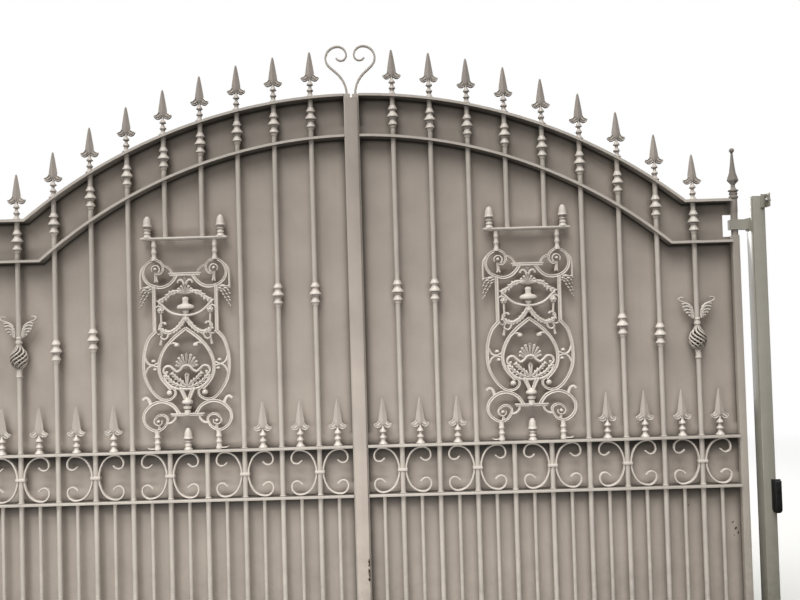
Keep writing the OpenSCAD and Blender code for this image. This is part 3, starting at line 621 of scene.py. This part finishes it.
for name, radius, shoulder in (("top_rail", TOP_R, SHOULDER_Z), ("arch_rail", ARCH_R, SHOULDER_2)):
    corner = math.sqrt(radius**2 - (shoulder - ARC_Z) ** 2)
    steps = [30 + (corner - 30) * i / 40 for i in range(41)]
    line = [(x, height(x, radius, 0)) for x in steps] + [(1515, shoulder)]
    bm = bmesh.new()
    skin(bm, stations(line, (12, 12), (REACH, REACH), FLAT))
    bmesh.ops.translate(bm, vec=(0, DEPTH_MID, 0), verts=bm.verts)
    both_sides(bm, f"{name}_flat", "steel_paint", rail_paint, name)
for name, z in (("mid_rail", MID_Z), ("low_rail", LOW_Z), ("bottom_rail", BOTTOM_Z)):
    bm = bmesh.new()
    block(bm, (30, -25, z - 6), (1515, 36, z + 6), 1.1)
    both_sides(bm, f"{name}_flat", "steel_paint", rail_paint, name)

# Bars. Nine round bars of 20 mm in each leaf and ten short ones of 15 mm below the band, welded
# at every rail; two bars stop at the cast panel and the last one at its basket.
BARS = [166 + 150 * k for k in range(9)]
PANEL_X, PANEL_Z, BASKET_Z = 691, 1713, 1247


def round_bar(bm, x, low, high, radius, sides):
    """Upright round bar between two heights."""
    made = rod(bm, sides, radius, radius, high - low)
    bmesh.ops.translate(bm, vec=(x, 0, (low + high) / 2), verts=made)


def weld(bm, x, z, radius, way):
    """Fillet weld round a bar, above a rail for way 1 and below it for way -1."""
    toe, throat = z + way * 1.6, z + way * 3
    rows = [(radius - 1, z), (radius + 3.2, z), (radius + 2, toe), (radius + 0.4, throat)]
    lathe(bm, rows + [(radius - 1, throat)], (x, 0, 0), 14)


bm = bmesh.new()
welds = bmesh.new()
for k, x in enumerate(BARS):
    top = height(x, TOP_R, SHOULDER_Z)
    gap = None
    if k in (3, 4):
        gap = (MID_Z + 6, PANEL_Z + 4)
    elif k == 8:
        gap = (BASKET_Z - 78, BASKET_Z + 70)
    pieces = [(BOTTOM_Z + 6, gap[0]), (gap[1], top)] if gap else [(BOTTOM_Z + 6, top)]
    for low, high in pieces:
        round_bar(bm, x, low, high, 10, 28)
    weld(welds, x, BOTTOM_Z + 6, 10, 1)
    for z in (LOW_Z, MID_Z):
        weld(welds, x, z - 6, 10, -1)
        if not (z == MID_Z and k in (3, 4)):
            weld(welds, x, z + 6, 10, 1)
both_sides(bm, "full_round_bars", "steel_paint", bar_paint, "full_bars")
bm = bmesh.new()
for k in range(10):
    x = 91 + 150 * k
    round_bar(bm, x, BOTTOM_Z + 6, LOW_Z - 6, 7.5, 24)
    weld(welds, x, BOTTOM_Z + 6, 7.5, 1)
    weld(welds, x, LOW_Z - 6, 7.5, -1)
both_sides(bm, "short_round_bars", "steel_paint", bar_paint, "short_bars")
both_sides(welds, "bar_welds", "steel_paint", bar_paint)

# Backing sheets. Plain 2 mm steel sheet on the back of the rails, in the same paint, flatter and
# painted a little darker as painted shade, with the streaks of a sprayed coat.

# knocks as (x, z, reach), painted shadow under the rails as (arch radius or 0, height, full, reach)
# and painted shade behind baskets and panels as (x, z, half width, half height, depth), all in metres
CHIPS = [
    (-0.122, 0.503, 0.007), (-0.110, 0.480, 0.009), (-0.100, 0.462, 0.004), (-0.117, 0.452, 0.003),
    (-0.298, 0.58, 0.002), (-1.535, 2.10, 0.003), (-1.475, 2.18, 0.002),
]
SEAMS = [
    (TOP_R / 1000, SHOULDER_Z / 1000, 0.011, 0.021), (ARCH_R / 1000, SHOULDER_2 / 1000, 0.011, 0.021),
    (0, MID_Z / 1000, 0.024, 0.080), (0, LOW_Z / 1000, 0.016, 0.062),
]
SHADE_PATCHES = [
    (-0.234, 1.247, 0.026, 0.032, 0.95), (-2.990, 1.247, 0.026, 0.032, 0.95),
    (-0.915, 1.29, 0.15, 0.42, 0.22), (-2.309, 1.29, 0.15, 0.42, 0.22),
]
sheet_paint = painted(
    "sprayed paint on sheet", "#bbb0a6", worn=0.64, streak=0.05, damp=0.25, shade_reach=0.036,
    own=False, scars=CHIPS, seams=SEAMS, shade_patches=SHADE_PATCHES,
)
for side in ("right", "left"):
    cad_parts[f"{side}_sheet"].data.materials[0] = sheet_paint

# Band of scrolls. Flat strip 16 by 6 mm bent cold into C scrolls, a pair back to back on every
# second bar, each pair held to its bar by a wrapped clip.
STRIP = [(-1, -0.8), (-1, 0.8), (-0.6, 1), (0.6, 1), (1, 0.8), (1, -0.8), (0.6, -1), (-0.6, -1)]


def bend(start, arcs):
    """Points along arcs given as (radius, sweep in degrees); a sweep of nought is a straight."""
    x, z, heading = start
    points = [(x, z)]
    for radius, sweep in arcs:
        count = max(2, int(abs(sweep) / 9)) if sweep else 2
        for _ in range(count):
            if sweep:
                side = math.copysign(1, sweep)
                turn = math.radians(sweep / count)
                cx, cz = x - side * radius * math.sin(heading), z + side * radius * math.cos(heading)
                heading += turn
                x, z = cx + side * radius * math.sin(heading), cz - side * radius * math.cos(heading)
            else:
                x, z = x + radius / count * math.cos(heading), z + radius / count * math.sin(heading)
            points.append((x, z))
    return points


bm = bmesh.new()
BAND_Z = (MID_Z + LOW_Z) // 2
# the clear height from the band's middle to a rail, less half the strip and a hair
half = (MID_Z - LOW_Z - 12 - 6) / 2 - 0.3
for k in range(0, 9, 2):
    for side in (-1, 1):
        for way in (-1, 1):
            x = BARS[k] + side * 13.3
            hand = -way * side
            curl = [(6, 0), (1.32 * half, hand * 30), (0.68 * half, hand * 60)]
            curl += [(32, hand * 100), (20, hand * 122), (12, 0)]
            line = bend((x, BAND_Z - way * 6, way * math.pi / 2), curl)
            skin(bm, stations(line, (7, 6), (16, 15), STRIP))
    block(bm, (BARS[k] - 19.6, -13.3, BAND_Z - 6.5), (BARS[k] + 19.6, 13.3, BAND_Z + 6.5), 3)
# painted paler as a painted highlight where the rounded faces catch more sky, painted shade underneath
strip_paint = painted("gloss paint on bent strip", "#eae0d6", under=0.7)
both_sides(bm, "scroll_band_strips", "steel_paint", strip_paint, "scroll_band")

# Railheads. Iron castings: a turned neck with two bells, a ridged blade and a pair of curled
# barbs; nine on the top rail and seven on the band of each leaf.


def through(points, steps=4):
    """Smooth line through given points."""
    line = []
    for i in range(len(points) - 1):
        near = [min(max(j, 0), len(points) - 1) for j in (i - 1, i, i + 1, i + 2)]
        a, b, c, d = [Vector(points[j]) for j in near]
        for t in [s / steps for s in range(steps)]:
            square, cube = 2 * a - 5 * b + 4 * c - d, 3 * b - a - 3 * c + d
            line.append(tuple(0.5 * (2 * b + (c - a) * t + square * t * t + cube * t**3)))
    return line + [tuple(points[-1])]


ROUND = [(math.cos(a), math.sin(a)) for a in [math.pi * i / 4 for i in range(8)]]
LEAF = [
    (-1, 0), (-0.75, 0.6), (-0.3, 0.8), (0, 0.55), (0.3, 0.95), (0.75, 0.7), (1, 0), (0.75, -0.7),
    (0.3, -0.95), (0, -0.55), (-0.3, -0.8), (-0.75, -0.6)
]


def stroke(bm, points, wide, deep, profile, steps=4):
    """Moulded strip along a smooth line, its width and depth running from one size to another."""
    skin(bm, stations(through(points, steps), wide, deep, profile))


def plate(bm, outline, thick, ease):
    """Flat casting cut to an outline, its front and back edges eased."""
    part = bmesh.new()
    face = part.faces.new([part.verts.new((x, -thick / 2, z)) for x, z in outline])
    made = bmesh.ops.extrude_face_region(part, geom=[face])["geom"]
    verts = [g for g in made if isinstance(g, bmesh.types.BMVert)]
    bmesh.ops.translate(part, vec=(0, thick, 0), verts=verts)
    bmesh.ops.recalc_face_normals(part, faces=part.faces)
    rims = [e for e in part.edges if e.verts[0].co.y * e.verts[1].co.y > 0]
    bmesh.ops.bevel(part, geom=rims, offset=ease, segments=2, profile=0.5, affect="EDGES", material=-1)
    join(bm, part)


BARB = [
    (0, 95), (14, 96), (18, 89.5), (23.5, 83.5), (30, 80.6), (36, 80.6), (34.5, 73), (29.5, 66.5),
    (22, 63.5), (14, 66), (7, 72), (0, 74),
]
CURLS = (
    ([(5, 75), (13, 67.5), (22, 65.5), (30, 70), (35.4, 78.5)], (7, 6), (17, 11)),
    ([(15, 93), (20.5, 85.5), (27, 81), (35.4, 79.5)], (6, 4), (13, 9)),
    ([(6, 85), (14, 76), (22, 72.8), (30, 75)], (4, 3), (12, 8)),
)
# the ridged blade takes the second of a casting's two coats, the one painted darker as painted shade
BLADE_COAT = 1


def railhead(drop):
    """Spearhead on its turned neck; drop lets its foot into a sloping rail."""
    part = bmesh.new()
    lathe(
        part, [(0, -drop), (11, -drop), (18.5, 0), (18.2, 1.5), (13, 7), (9.8, 12), (8.8, 15),
        (9.5, 18), (9.8, 21), (13, 23), (13.8, 25), (13.6, 27.5), (11, 32), (7.5, 36), (6.6, 40),
        (6.8, 44), (9, 46.4), (13.2, 47.6), (14, 49.6), (13.4, 52.5), (10, 58), (6.4, 62), (5.6, 68),
        (5, 76), (0, 76)], sides=20
    )
    made = len(part.faces)
    ridge(
        part, [(64, 4, 4), (74, 11, 6), (80, 15.5, 7.4), (86, 18.4, 8), (96, 18, 8), (109, 16.4, 7.8),
        (120, 14.6, 7.4), (131, 12.8, 7), (147, 10.3, 6.2), (160, 8, 5.2), (172, 5.8, 4.2),
        (179, 4.2, 3.3), (183, 2.6, 2.4), (184, 1.2, 1.2)]
    )
    for face in part.faces[:][made:]:
        face.material_index = BLADE_COAT
    for side in (-1, 1):
        plate(part, [(side * x, z) for x, z in BARB], 5, 1.6)
        for line, wide, deep in CURLS:
            stroke(part, [(side * x, z) for x, z in line], wide, deep, ROUND)
    return part


bm = bmesh.new()
# the top rail slopes under the spearheads up to here, and is level beyond
LEVEL_FROM = 1330
for x in BARS:
    slope = math.tan(math.asin(x / TOP_R)) if x < LEVEL_FROM else 0
    part = railhead(1 + 13 * slope)
    bmesh.ops.translate(part, vec=(x, 0, height(x, TOP_R, SHOULDER_Z) + 6), verts=part.verts)
    join(bm, part)
# cast necks and barbs are half matt and painted pale as a painted highlight; the blades are painted
# darker as painted shade, most of all at the top
head_paint = painted(
    "gloss paint on cast necks and barbs", "#f0e6dc", streak=0.12, damp=0.3, gloss=0.3,
    shade_reach=0.018, under=0.6, fade=(0.78, 1.02),
)
blade_paint = painted(
    "gloss paint on spear blades", "#d4c9bf", streak=0.12, damp=0.3, gloss=0.38,
    shade_reach=0.018, under=0.6, fade=(0.72, 1.0),
)
both_sides(bm, "railhead_castings", "casting_paint", [head_paint, blade_paint], "railheads")


def acorn(bm, place):
    """Turned acorn on its bell-shaped foot."""
    lathe(
        bm, [(0, 0), (18, 0), (17.6, 2), (13.5, 6), (12, 10), (11.5, 13), (13.5, 15), (13.8, 18),
        (13, 20), (10.5, 23), (10, 26), (13.2, 29), (14, 31), (13.6, 33), (10.5, 36), (12, 39),
        (17, 41.5), (19.3, 44), (19.5, 46), (18, 47.6), (16.8, 49), (16.2, 55), (15.2, 62), (13.6, 71),
        (11, 78), (7, 84), (3, 86.6), (0, 87)], place
    )


bm = bmesh.new()
for k in (0, 1, 2, 6, 7, 8, 9):
    part = railhead(0)
    bmesh.ops.translate(part, vec=(91 + 150 * k, 0, MID_Z + 6), verts=part.verts)
    join(bm, part)
acorn(bm, (PANEL_X, 0, MID_Z + 6))
both_sides(bm, "band_head_castings", "casting_paint", [head_paint, blade_paint], "band_heads")

# Collars. Cast collars of three bells threaded on the bars: one on each bar between the arched
# rails, and one lower down on the first two and on the seventh and eighth bars.

# half-matt paint over a faintly rough casting, painted pale as a painted highlight, with painted
# shade in its hollows and underneath
cast_paint = painted(
    "gloss paint on cast iron", "#efe5db", streak=0.12, damp=0.3, gloss=0.38,
    shade_reach=0.018, under=0.6,
)
bm = bmesh.new()
COLLAR = [
    (10.2, -46), (12.5, -46), (12.5, -41), (14, -38), (14, -35.6), (18.6, -34.6), (19, -32),
    (18.4, -30), (14.5, -23.5), (12.5, -18), (11.8, -14.5), (13.5, -11.5), (16.3, -9), (16.6, -6.5),
    (15.5, -5), (22.8, -3), (23.5, 0), (22.8, 2.4), (18.5, 8), (14.5, 13.5), (12.5, 18), (11.8, 22),
    (13.5, 26), (18, 27.6), (18.5, 30), (18, 32), (14.5, 37.5), (12.4, 42), (11.8, 46), (10.2, 46)
]
spots = [(x, (height(x, TOP_R, SHOULDER_Z) + height(x, ARCH_R, SHOULDER_2)) / 2) for x in BARS]
spots += [(BARS[0], MID_Z + 616), (BARS[1], MID_Z + 616), (BARS[6], MID_Z + 455), (BARS[7], MID_Z + 413)]
for x, z in spots:
    lathe(bm, COLLAR, (x, 0, z), 28)
both_sides(bm, "collar_castings", "casting_paint", cast_paint, "collars")

# Baskets. Eight thin rods twisted into a bulb between two collars on the outer bar, with a
# pair of acanthus leaves that curl outwards above it.

# the same paint, with painted shade between the rods and under the leaves
basket_paint = painted(
    "gloss paint on twisted rod, sooty inside", "#e6dcd2", streak=0.12, damp=0.3,
    shade_reach=0.05, under=0.8,
)
bm = bmesh.new()
x = BARS[8]
lathe(
    bm, [(0, -78), (12, -78), (13, -76), (13.2, -74), (12.4, -71.5), (11.4, -70), (11.2, -46), (7, -43),
    (0, -43)], (x, 0, BASKET_Z)
)
lathe(
    bm, [(0, 51), (7, 51), (11.2, 54), (11.2, 57), (13.2, 58.5), (13.6, 61), (13.6, 64), (12.6, 67),
    (11.4, 70), (11, 75), (13, 78), (13.4, 81), (11.6, 84), (10, 86), (0, 86)], (x, 0, BASKET_Z)
)
ROD = [
    (8.4, -52), (9.5, -45), (15, -37), (22, -30), (29, -19), (32, -8), (32, 3), (30, 14), (25, 24),
    (18, 33), (12, 42), (8.4, 50), (8.2, 57)
]
for j in range(8):
    loops = []
    centres = []
    for r, z in through(ROD, 4):
        a = math.radians(45 * j - 92 * math.sin(math.radians(1.73 * z)))
        centres.append(Vector((x + r * math.cos(a), r * math.sin(a), BASKET_Z + z)))
    for i, centre in enumerate(centres):
        before, after = centres[max(i - 1, 0)], centres[min(i + 1, len(centres) - 1)]
        along = (after - before).normalized()
        out = Vector((centre.x - x, centre.y, 0)).normalized()
        over = along.cross(out).normalized()
        out = over.cross(along)
        loops.append([centre + 3.5 * (u * out + v * over) for u, v in ROUND])
    skin(bm, loops)
LEAF_EDGE = [
    (13, 80), (15, 111), (21, 127), (36, 141), (50, 148), (62, 152), (68, 158), (63, 163), (52, 163),
    (52, 168), (64, 169), (73, 161), (70, 150), (60, 140), (58, 127), (53, 113), (45, 104), (36, 104),
    (35, 95), (28, 88), (19, 80)
]
RIBS = (
    (
        [
            (15, 84), (16, 108), (23, 127), (38, 141), (56, 148), (68, 153), (72, 161), (64, 166.5),
            (54, 166)
        ],
        (8, 6), (15, 8),
    ),
    ([(21, 124), (33, 137), (46, 142), (59, 139)], (12, 10), (16, 12)),
    ([(17.5, 112), (29, 126), (42, 131), (56, 127)], (12, 11), (17, 13)),
    ([(16.5, 101), (26, 113), (38, 118), (51, 114)], (11, 10), (17, 12)),
    ([(16, 90), (23, 101), (33, 106), (43, 103)], (10, 8), (15, 10)),
    ([(15.5, 82), (21, 91), (28, 95), (34, 92)], (8, 7), (13, 9)),
)
for side in (-1, 1):
    plate(bm, [(x + side * px, BASKET_Z + pz) for px, pz in LEAF_EDGE], 5, 1.4)
    for line, wide, deep in RIBS:
        stroke(bm, [(x + side * px, BASKET_Z + pz) for px, pz in line], wide, deep, ROUND)
both_sides(bm, "basket_casting", "casting_paint", basket_paint, "basket")

# Cast panel. One iron casting in each leaf, of double-beaded strips with ball-ended volutes, an
# urn with leafy swags, a fan palmette in a pointed oval, and turned legs; acorns crown its rail.
HALF_BEADED = [
    (-1, 0.3), (-0.9, 0.75), (-0.6, 1), (-0.3, 0.84), (-0.08, 0.58), (0.08, 0.58), (0.3, 0.84),
    (0.6, 1), (0.9, 0.75), (1, 0.3)
]
BEADED = HALF_BEADED + [(-u, -v) for u, v in HALF_BEADED]


def knob(bm, x, z, rx, ry, rz, tilt=0.0, sides=12):
    """Cast boss, leaf lobe or berry: a rounded form laid in the plane of the panel."""
    turn = Matrix.Rotation(math.radians(tilt), 4, "Y")
    place = Matrix.Translation((x, 0, z)) @ turn @ Matrix.Diagonal((rx, ry, rz, 1))
    rings = max(6, sides // 2)
    bmesh.ops.create_uvsphere(bm, u_segments=sides, v_segments=rings, radius=1, matrix=place)


def lobes(bm, points, size, sides=(1, -1), gap=7):
    """Leaf lobes set aslant along both sides of a line."""
    line = through(points, 6)
    walked = 0
    for a, b in zip(line, line[1:]):
        a, b = Vector(a), Vector(b)
        walked += (b - a).length
        if walked > gap:
            walked = 0
            heading = math.atan2(b.y - a.y, b.x - a.x)
            for side in sides:
                slant = heading + side * math.radians(42)
                px, pz = b.x + math.cos(slant) * size * 0.6, b.y + math.sin(slant) * size * 0.6
                knob(bm, px, pz, size, size * 0.55, size * 0.42, -math.degrees(slant), 8)


bm = bmesh.new()
part = bmesh.new()
B, R = BEADED, ROUND
# ear with its volute, lobe, falling leaf and bunch of fruit
stroke(
    part, [(30, 706), (42, 684), (66, 662), (100, 654), (143, 670), (163, 707), (150, 747), (117, 764),
    (92, 752), (84, 728), (96, 709), (112, 710)], (15.5, 10), (14, 12), B, 5
)
stroke(part, [(103, 713), (98, 726), (105, 740), (119, 742), (129, 732), (127, 719)], (9, 7), (13, 12), R)
knob(part, 115, 728, 8, 13, 8, 0, 14)
stroke(part, [(116, 716), (113, 682)], (8, 15), (12, 9), LEAF)
knob(part, 109, 680, 4, 4, 7, 20)
knob(part, 117, 680, 4, 4, 7, -20)
stroke(part, [(88, 741), (70, 736), (55, 722), (48, 704)], (10, 10), (12, 12), B)
stroke(part, [(150, 748), (170, 726), (174, 690), (174, 646)], (9, 9), (11, 11), R)
for line in ([(118, 630), (136, 640), (158, 642)], [(120, 644), (138, 654), (168, 652)]):
    stroke(part, line, (9, 8), (12, 10), LEAF)
for px, pz, tilt, size in (
    (146, 655, 8, 15), (137, 646, 20, 11), (160, 645, 12, 11), (171, 652, 30, 8),
    (143, 633, 50, 9), (156, 634, 42, 8.5), (169, 637, 50, 8), (150, 620, 50, 8.5),
    (163, 622, 42, 8.5), (174, 625, 55, 7), (158, 607, 50, 8.5), (170, 609, 42, 8),
    (165, 595, 50, 8), (175, 597, 50, 7), (171, 583, 55, 7), (177, 574, 70, 6),
):
    knob(part, px, pz, size, 7.5, size * 0.46, tilt, 10)
# urn with its fleur, leaves and bowl, and half of each swag
knob(part, 0, 686, 8, 7, 15)
stroke(part, [(2, 662), (8, 677), (18, 683), (27, 679), (29, 671)], (13, 9), (12, 9), R)
knob(part, 0, 664, 7, 8, 8)
for angle, reach in ((0, 37), (24, 36), (48, 34), (72, 30)):
    a = math.radians(angle)
    middle = (reach * 0.55 * math.sin(a), 625 + reach * 0.55 * math.cos(a))
    tip = (reach * math.sin(a), 625 + reach * math.cos(a) * 0.95)
    stroke(part, [(0, 625), middle, tip], (5, 14), (10, 14), LEAF)
    knob(part, *tip, 7, 7.5, 5.5, angle, 10)
stroke(part, [(16, 634), (36, 636), (56, 631), (78, 612), (106, 597)], (17, 13), (13, 11), LEAF)
lobes(part, [(24, 634), (56, 629), (78, 610), (102, 596)], 11, (-1, 1), 12)
stroke(part, [(106, 599), (82, 573), (58, 553), (28, 543), (-2, 540)], (11, 12), (12, 13), R)
stroke(part, [(124, 566), (105, 580), (83, 566)], (9, 9), (11, 11), R)
knob(part, 97, 562, 15, 10, 14, 0, 16)
knob(part, 97, 562, 7, 14, 7)
for a in range(0, 360, 60):
    px, pz = 97 + 10 * math.cos(math.radians(a)), 562 + 10 * math.sin(math.radians(a))
    knob(part, px, pz, 5, 11, 5, 0, 8)
stroke(part, [(97, 552), (96, 526), (95, 498)], (10, 8), (11, 10), R)
stroke(
    part, [(2, 532), (14, 512), (35, 488), (62, 474), (90, 479), (102, 496), (94, 511), (79, 511)],
    (20, 9), (14, 11), LEAF, 5
)
lobes(part, [(6, 522), (35, 488), (62, 474), (88, 480)], 10.5, (1, -1), 11)
knob(part, 104, 488, 8, 6, 5, 30)
knob(part, 80, 508, 6, 8, 6)
# straps, bow, pointed oval and ties
stroke(part, [(122, 662), (122, 560), (122, 474)], (15.5, 15.5), (14, 14), B, 3)
stroke(part, [(122, 480), (108, 466), (86, 471)], (8, 8), (11, 11), LEAF)
stroke(part, [(68, 475), (73, 454), (86, 446), (98, 456), (92, 467)], (9, 7), (11, 9), R)
stroke(part, [(96, 452), (101, 424)], (6, 11), (9, 6), LEAF)
stroke(
    part, [(-2, 489), (35, 461), (60, 438), (84, 408), (101, 372), (108, 334), (100, 295), (81, 267),
    (60, 246)], (15.5, 14), (14, 13), B, 5
)
stroke(part, [(92, 394), (74, 420), (52, 431), (37, 426)], (11, 10), (12, 12), R)
knob(part, 37, 422, 11, 11, 10, 0, 14)
stroke(
    part, [(116, 481), (146, 446), (162, 398), (167, 350), (163, 298), (145, 254), (118, 219),
    (91, 204), (66, 207), (48, 222), (46, 240), (58, 251), (72, 246)], (15.5, 10), (14, 12), B, 5
)
knob(part, 69, 232, 12, 12, 12, 0, 14)
for line, ball in (
    ([(162, 376), (153, 354), (136, 344), (108, 354)], (129, 360)),
    ([(163, 308), (152, 330), (136, 342), (114, 338)], (123, 327)),
):
    stroke(part, line, (11, 9), (12, 11), R)
    knob(part, *ball, 9, 10, 7.5, 0, 12)
# fan palmette over a wave band, held in a cup of leaves on two stalks
for angle, length in ((0, 63), (17, 60), (34, 55), (51, 49), (68, 43)):
    a = math.radians(angle)
    foot = (4 * math.sin(a), 326)
    tip = (length * math.sin(a), 326 + length * math.cos(a) * 0.96)
    middle = ((foot[0] + tip[0]) / 2, (foot[1] + tip[1]) / 2)
    stroke(part, [foot, middle, tip], (4, 13), (10, 13), LEAF)
    knob(part, *tip, 6.5, 7, 5, angle, 10)
stroke(
    part, [(-2, 341), (12, 338), (24, 324), (38, 316), (52, 326), (66, 338), (82, 336), (91, 322),
    (86, 309), (74, 311)], (13, 10), (15, 12), R, 5
)
knob(part, 78, 315, 7, 8, 6)
for line, size in (
    ([(6, 252), (34, 262), (60, 276), (80, 300)], 10),
    ([(4, 258), (22, 276), (40, 290), (56, 308)], 9),
):
    stroke(part, line, (11, 13), (13, 14), LEAF)
    lobes(part, line, size, (1, -1), 12)
    knob(part, *line[-1], size, 8, size * 0.6, -50, 10)
stroke(part, [(0, 250), (0, 276), (0, 306)], (8, 20), (12, 15), LEAF)
knob(part, 0, 304, 9, 8, 8)
stroke(part, [(90, 302), (80, 278), (60, 258), (34, 248), (-2, 246)], (9, 13), (11, 13), R)
stroke(part, [(27, 254), (16, 230), (4, 200)], (18, 15), (14, 12), B, 3)
# scrolled foot with its volute, hook and link
stroke(
    part, [(32, 146), (56, 180), (96, 197), (135, 188), (164, 160), (171, 128), (158, 100), (130, 82),
    (103, 87), (84, 106), (79, 130), (95, 144), (114, 142), (127, 130)], (15.5, 10), (14, 12), B, 5
)
stroke(part, [(126, 132), (131, 120), (125, 108), (112, 104), (101, 112), (102, 124)], (9, 7), (13, 12), R)
knob(part, 114, 119, 8, 13, 8, 0, 14)
stroke(part, [(114, 110), (110, 84)], (8, 15), (12, 12), LEAF)
stroke(part, [(86, 112), (66, 112), (50, 126), (46, 144)], (11, 11), (12, 12), R)
stroke(part, [(143, 184), (150, 205), (163, 214), (174, 206)], (14, 12), (12, 10), R)
# turned pin above the ear, turned leg below the foot with its toe, and the other half
lathe(
    part, [(0, 762), (11, 762), (11, 771), (9, 776), (8.3, 780), (8.3, 789), (10, 792), (10.3, 796),
    (10, 800), (8.3, 804), (8.3, 815), (10.3, 818), (10.5, 821), (9.4, 825), (8.8, 832), (9, 848),
    (0, 848)], (119, 0, 0)
)
lathe(
    part, [(0, 6), (12, 6), (12, 15), (9.6, 20), (9.4, 30), (11.6, 33), (12, 36), (11.4, 39), (9, 42),
    (9, 51), (11.6, 54), (12, 57), (11.4, 60), (9.4, 64), (9.8, 74), (11, 84), (0, 84)], (120, 0, 0)
)
stroke(part, [(112, 10), (140, 10), (152, 11), (158, 16)], (8, 5), (18, 14), R)
mirror = part.copy()
bmesh.ops.scale(mirror, vec=(-1, 1, 1), verts=mirror.verts)
bmesh.ops.reverse_faces(mirror, faces=mirror.faces)
join(bm, part)
join(bm, mirror)
for side in (-1, 1):
    acorn(bm, (side * 144, 0, 855))
# turned work up the middle, then the crown, foot and urn ledges
lathe(
    bm, [(0, 144), (13, 144), (12.4, 152), (12, 162), (10, 165), (15, 168), (16.4, 173), (15.6, 178),
    (11, 182), (11, 185), (20, 188), (22, 192), (21.6, 197), (18, 202), (12, 205), (8, 212), (0, 212)]
)
lathe(
    bm, [(0, 536), (9, 538), (9, 548), (14, 553), (12, 560), (24, 565), (33, 568), (35, 573), (33, 578),
    (26, 583), (12, 588), (11, 600), (13, 604), (13, 608), (9, 614), (0, 616)], squash=0.55
)
lathe(bm, [(0, 516), (8, 518), (10.5, 523), (10.5, 528), (7, 533), (8, 538), (0, 540)], squash=0.8)
block(bm, (-170, -15, 847), (170, 15, 855), 2)
block(bm, (-166, -11, 843), (166, 11, 848), 1.5)
block(bm, (-66, -9, 145), (66, 9, 151), 1.5)
block(bm, (-62, -7, 139), (62, 7, 145), 1.5)
block(bm, (-64, -7, 707), (64, 7, 713), 2)
block(bm, (-60, -6, 699), (60, 6, 707), 2)
bmesh.ops.scale(bm, vec=(1.03, 1, (PANEL_Z - MID_Z) / 851), verts=bm.verts)
bmesh.ops.translate(bm, vec=(PANEL_X, 0, MID_Z), verts=bm.verts)
both_sides(bm, "cast_panel_ornament", "casting_paint", cast_paint, "cast_panel")

# Top scrolls. Strip drawn down to a thin tail and curled, one on each meeting stile, so that the
# pair makes a heart over the closing bar.
bm = bmesh.new()
line = bend((17, CROWN_Z + 4, math.pi / 2), [(121, -48), (36, 0), (48, 138), (36, 90), (22, 150)])
skin(bm, stations(line, (9, 6), (16, 13), STRIP))
both_sides(bm, "top_scroll_strip", "steel_paint", bar_paint, "top_scroll")
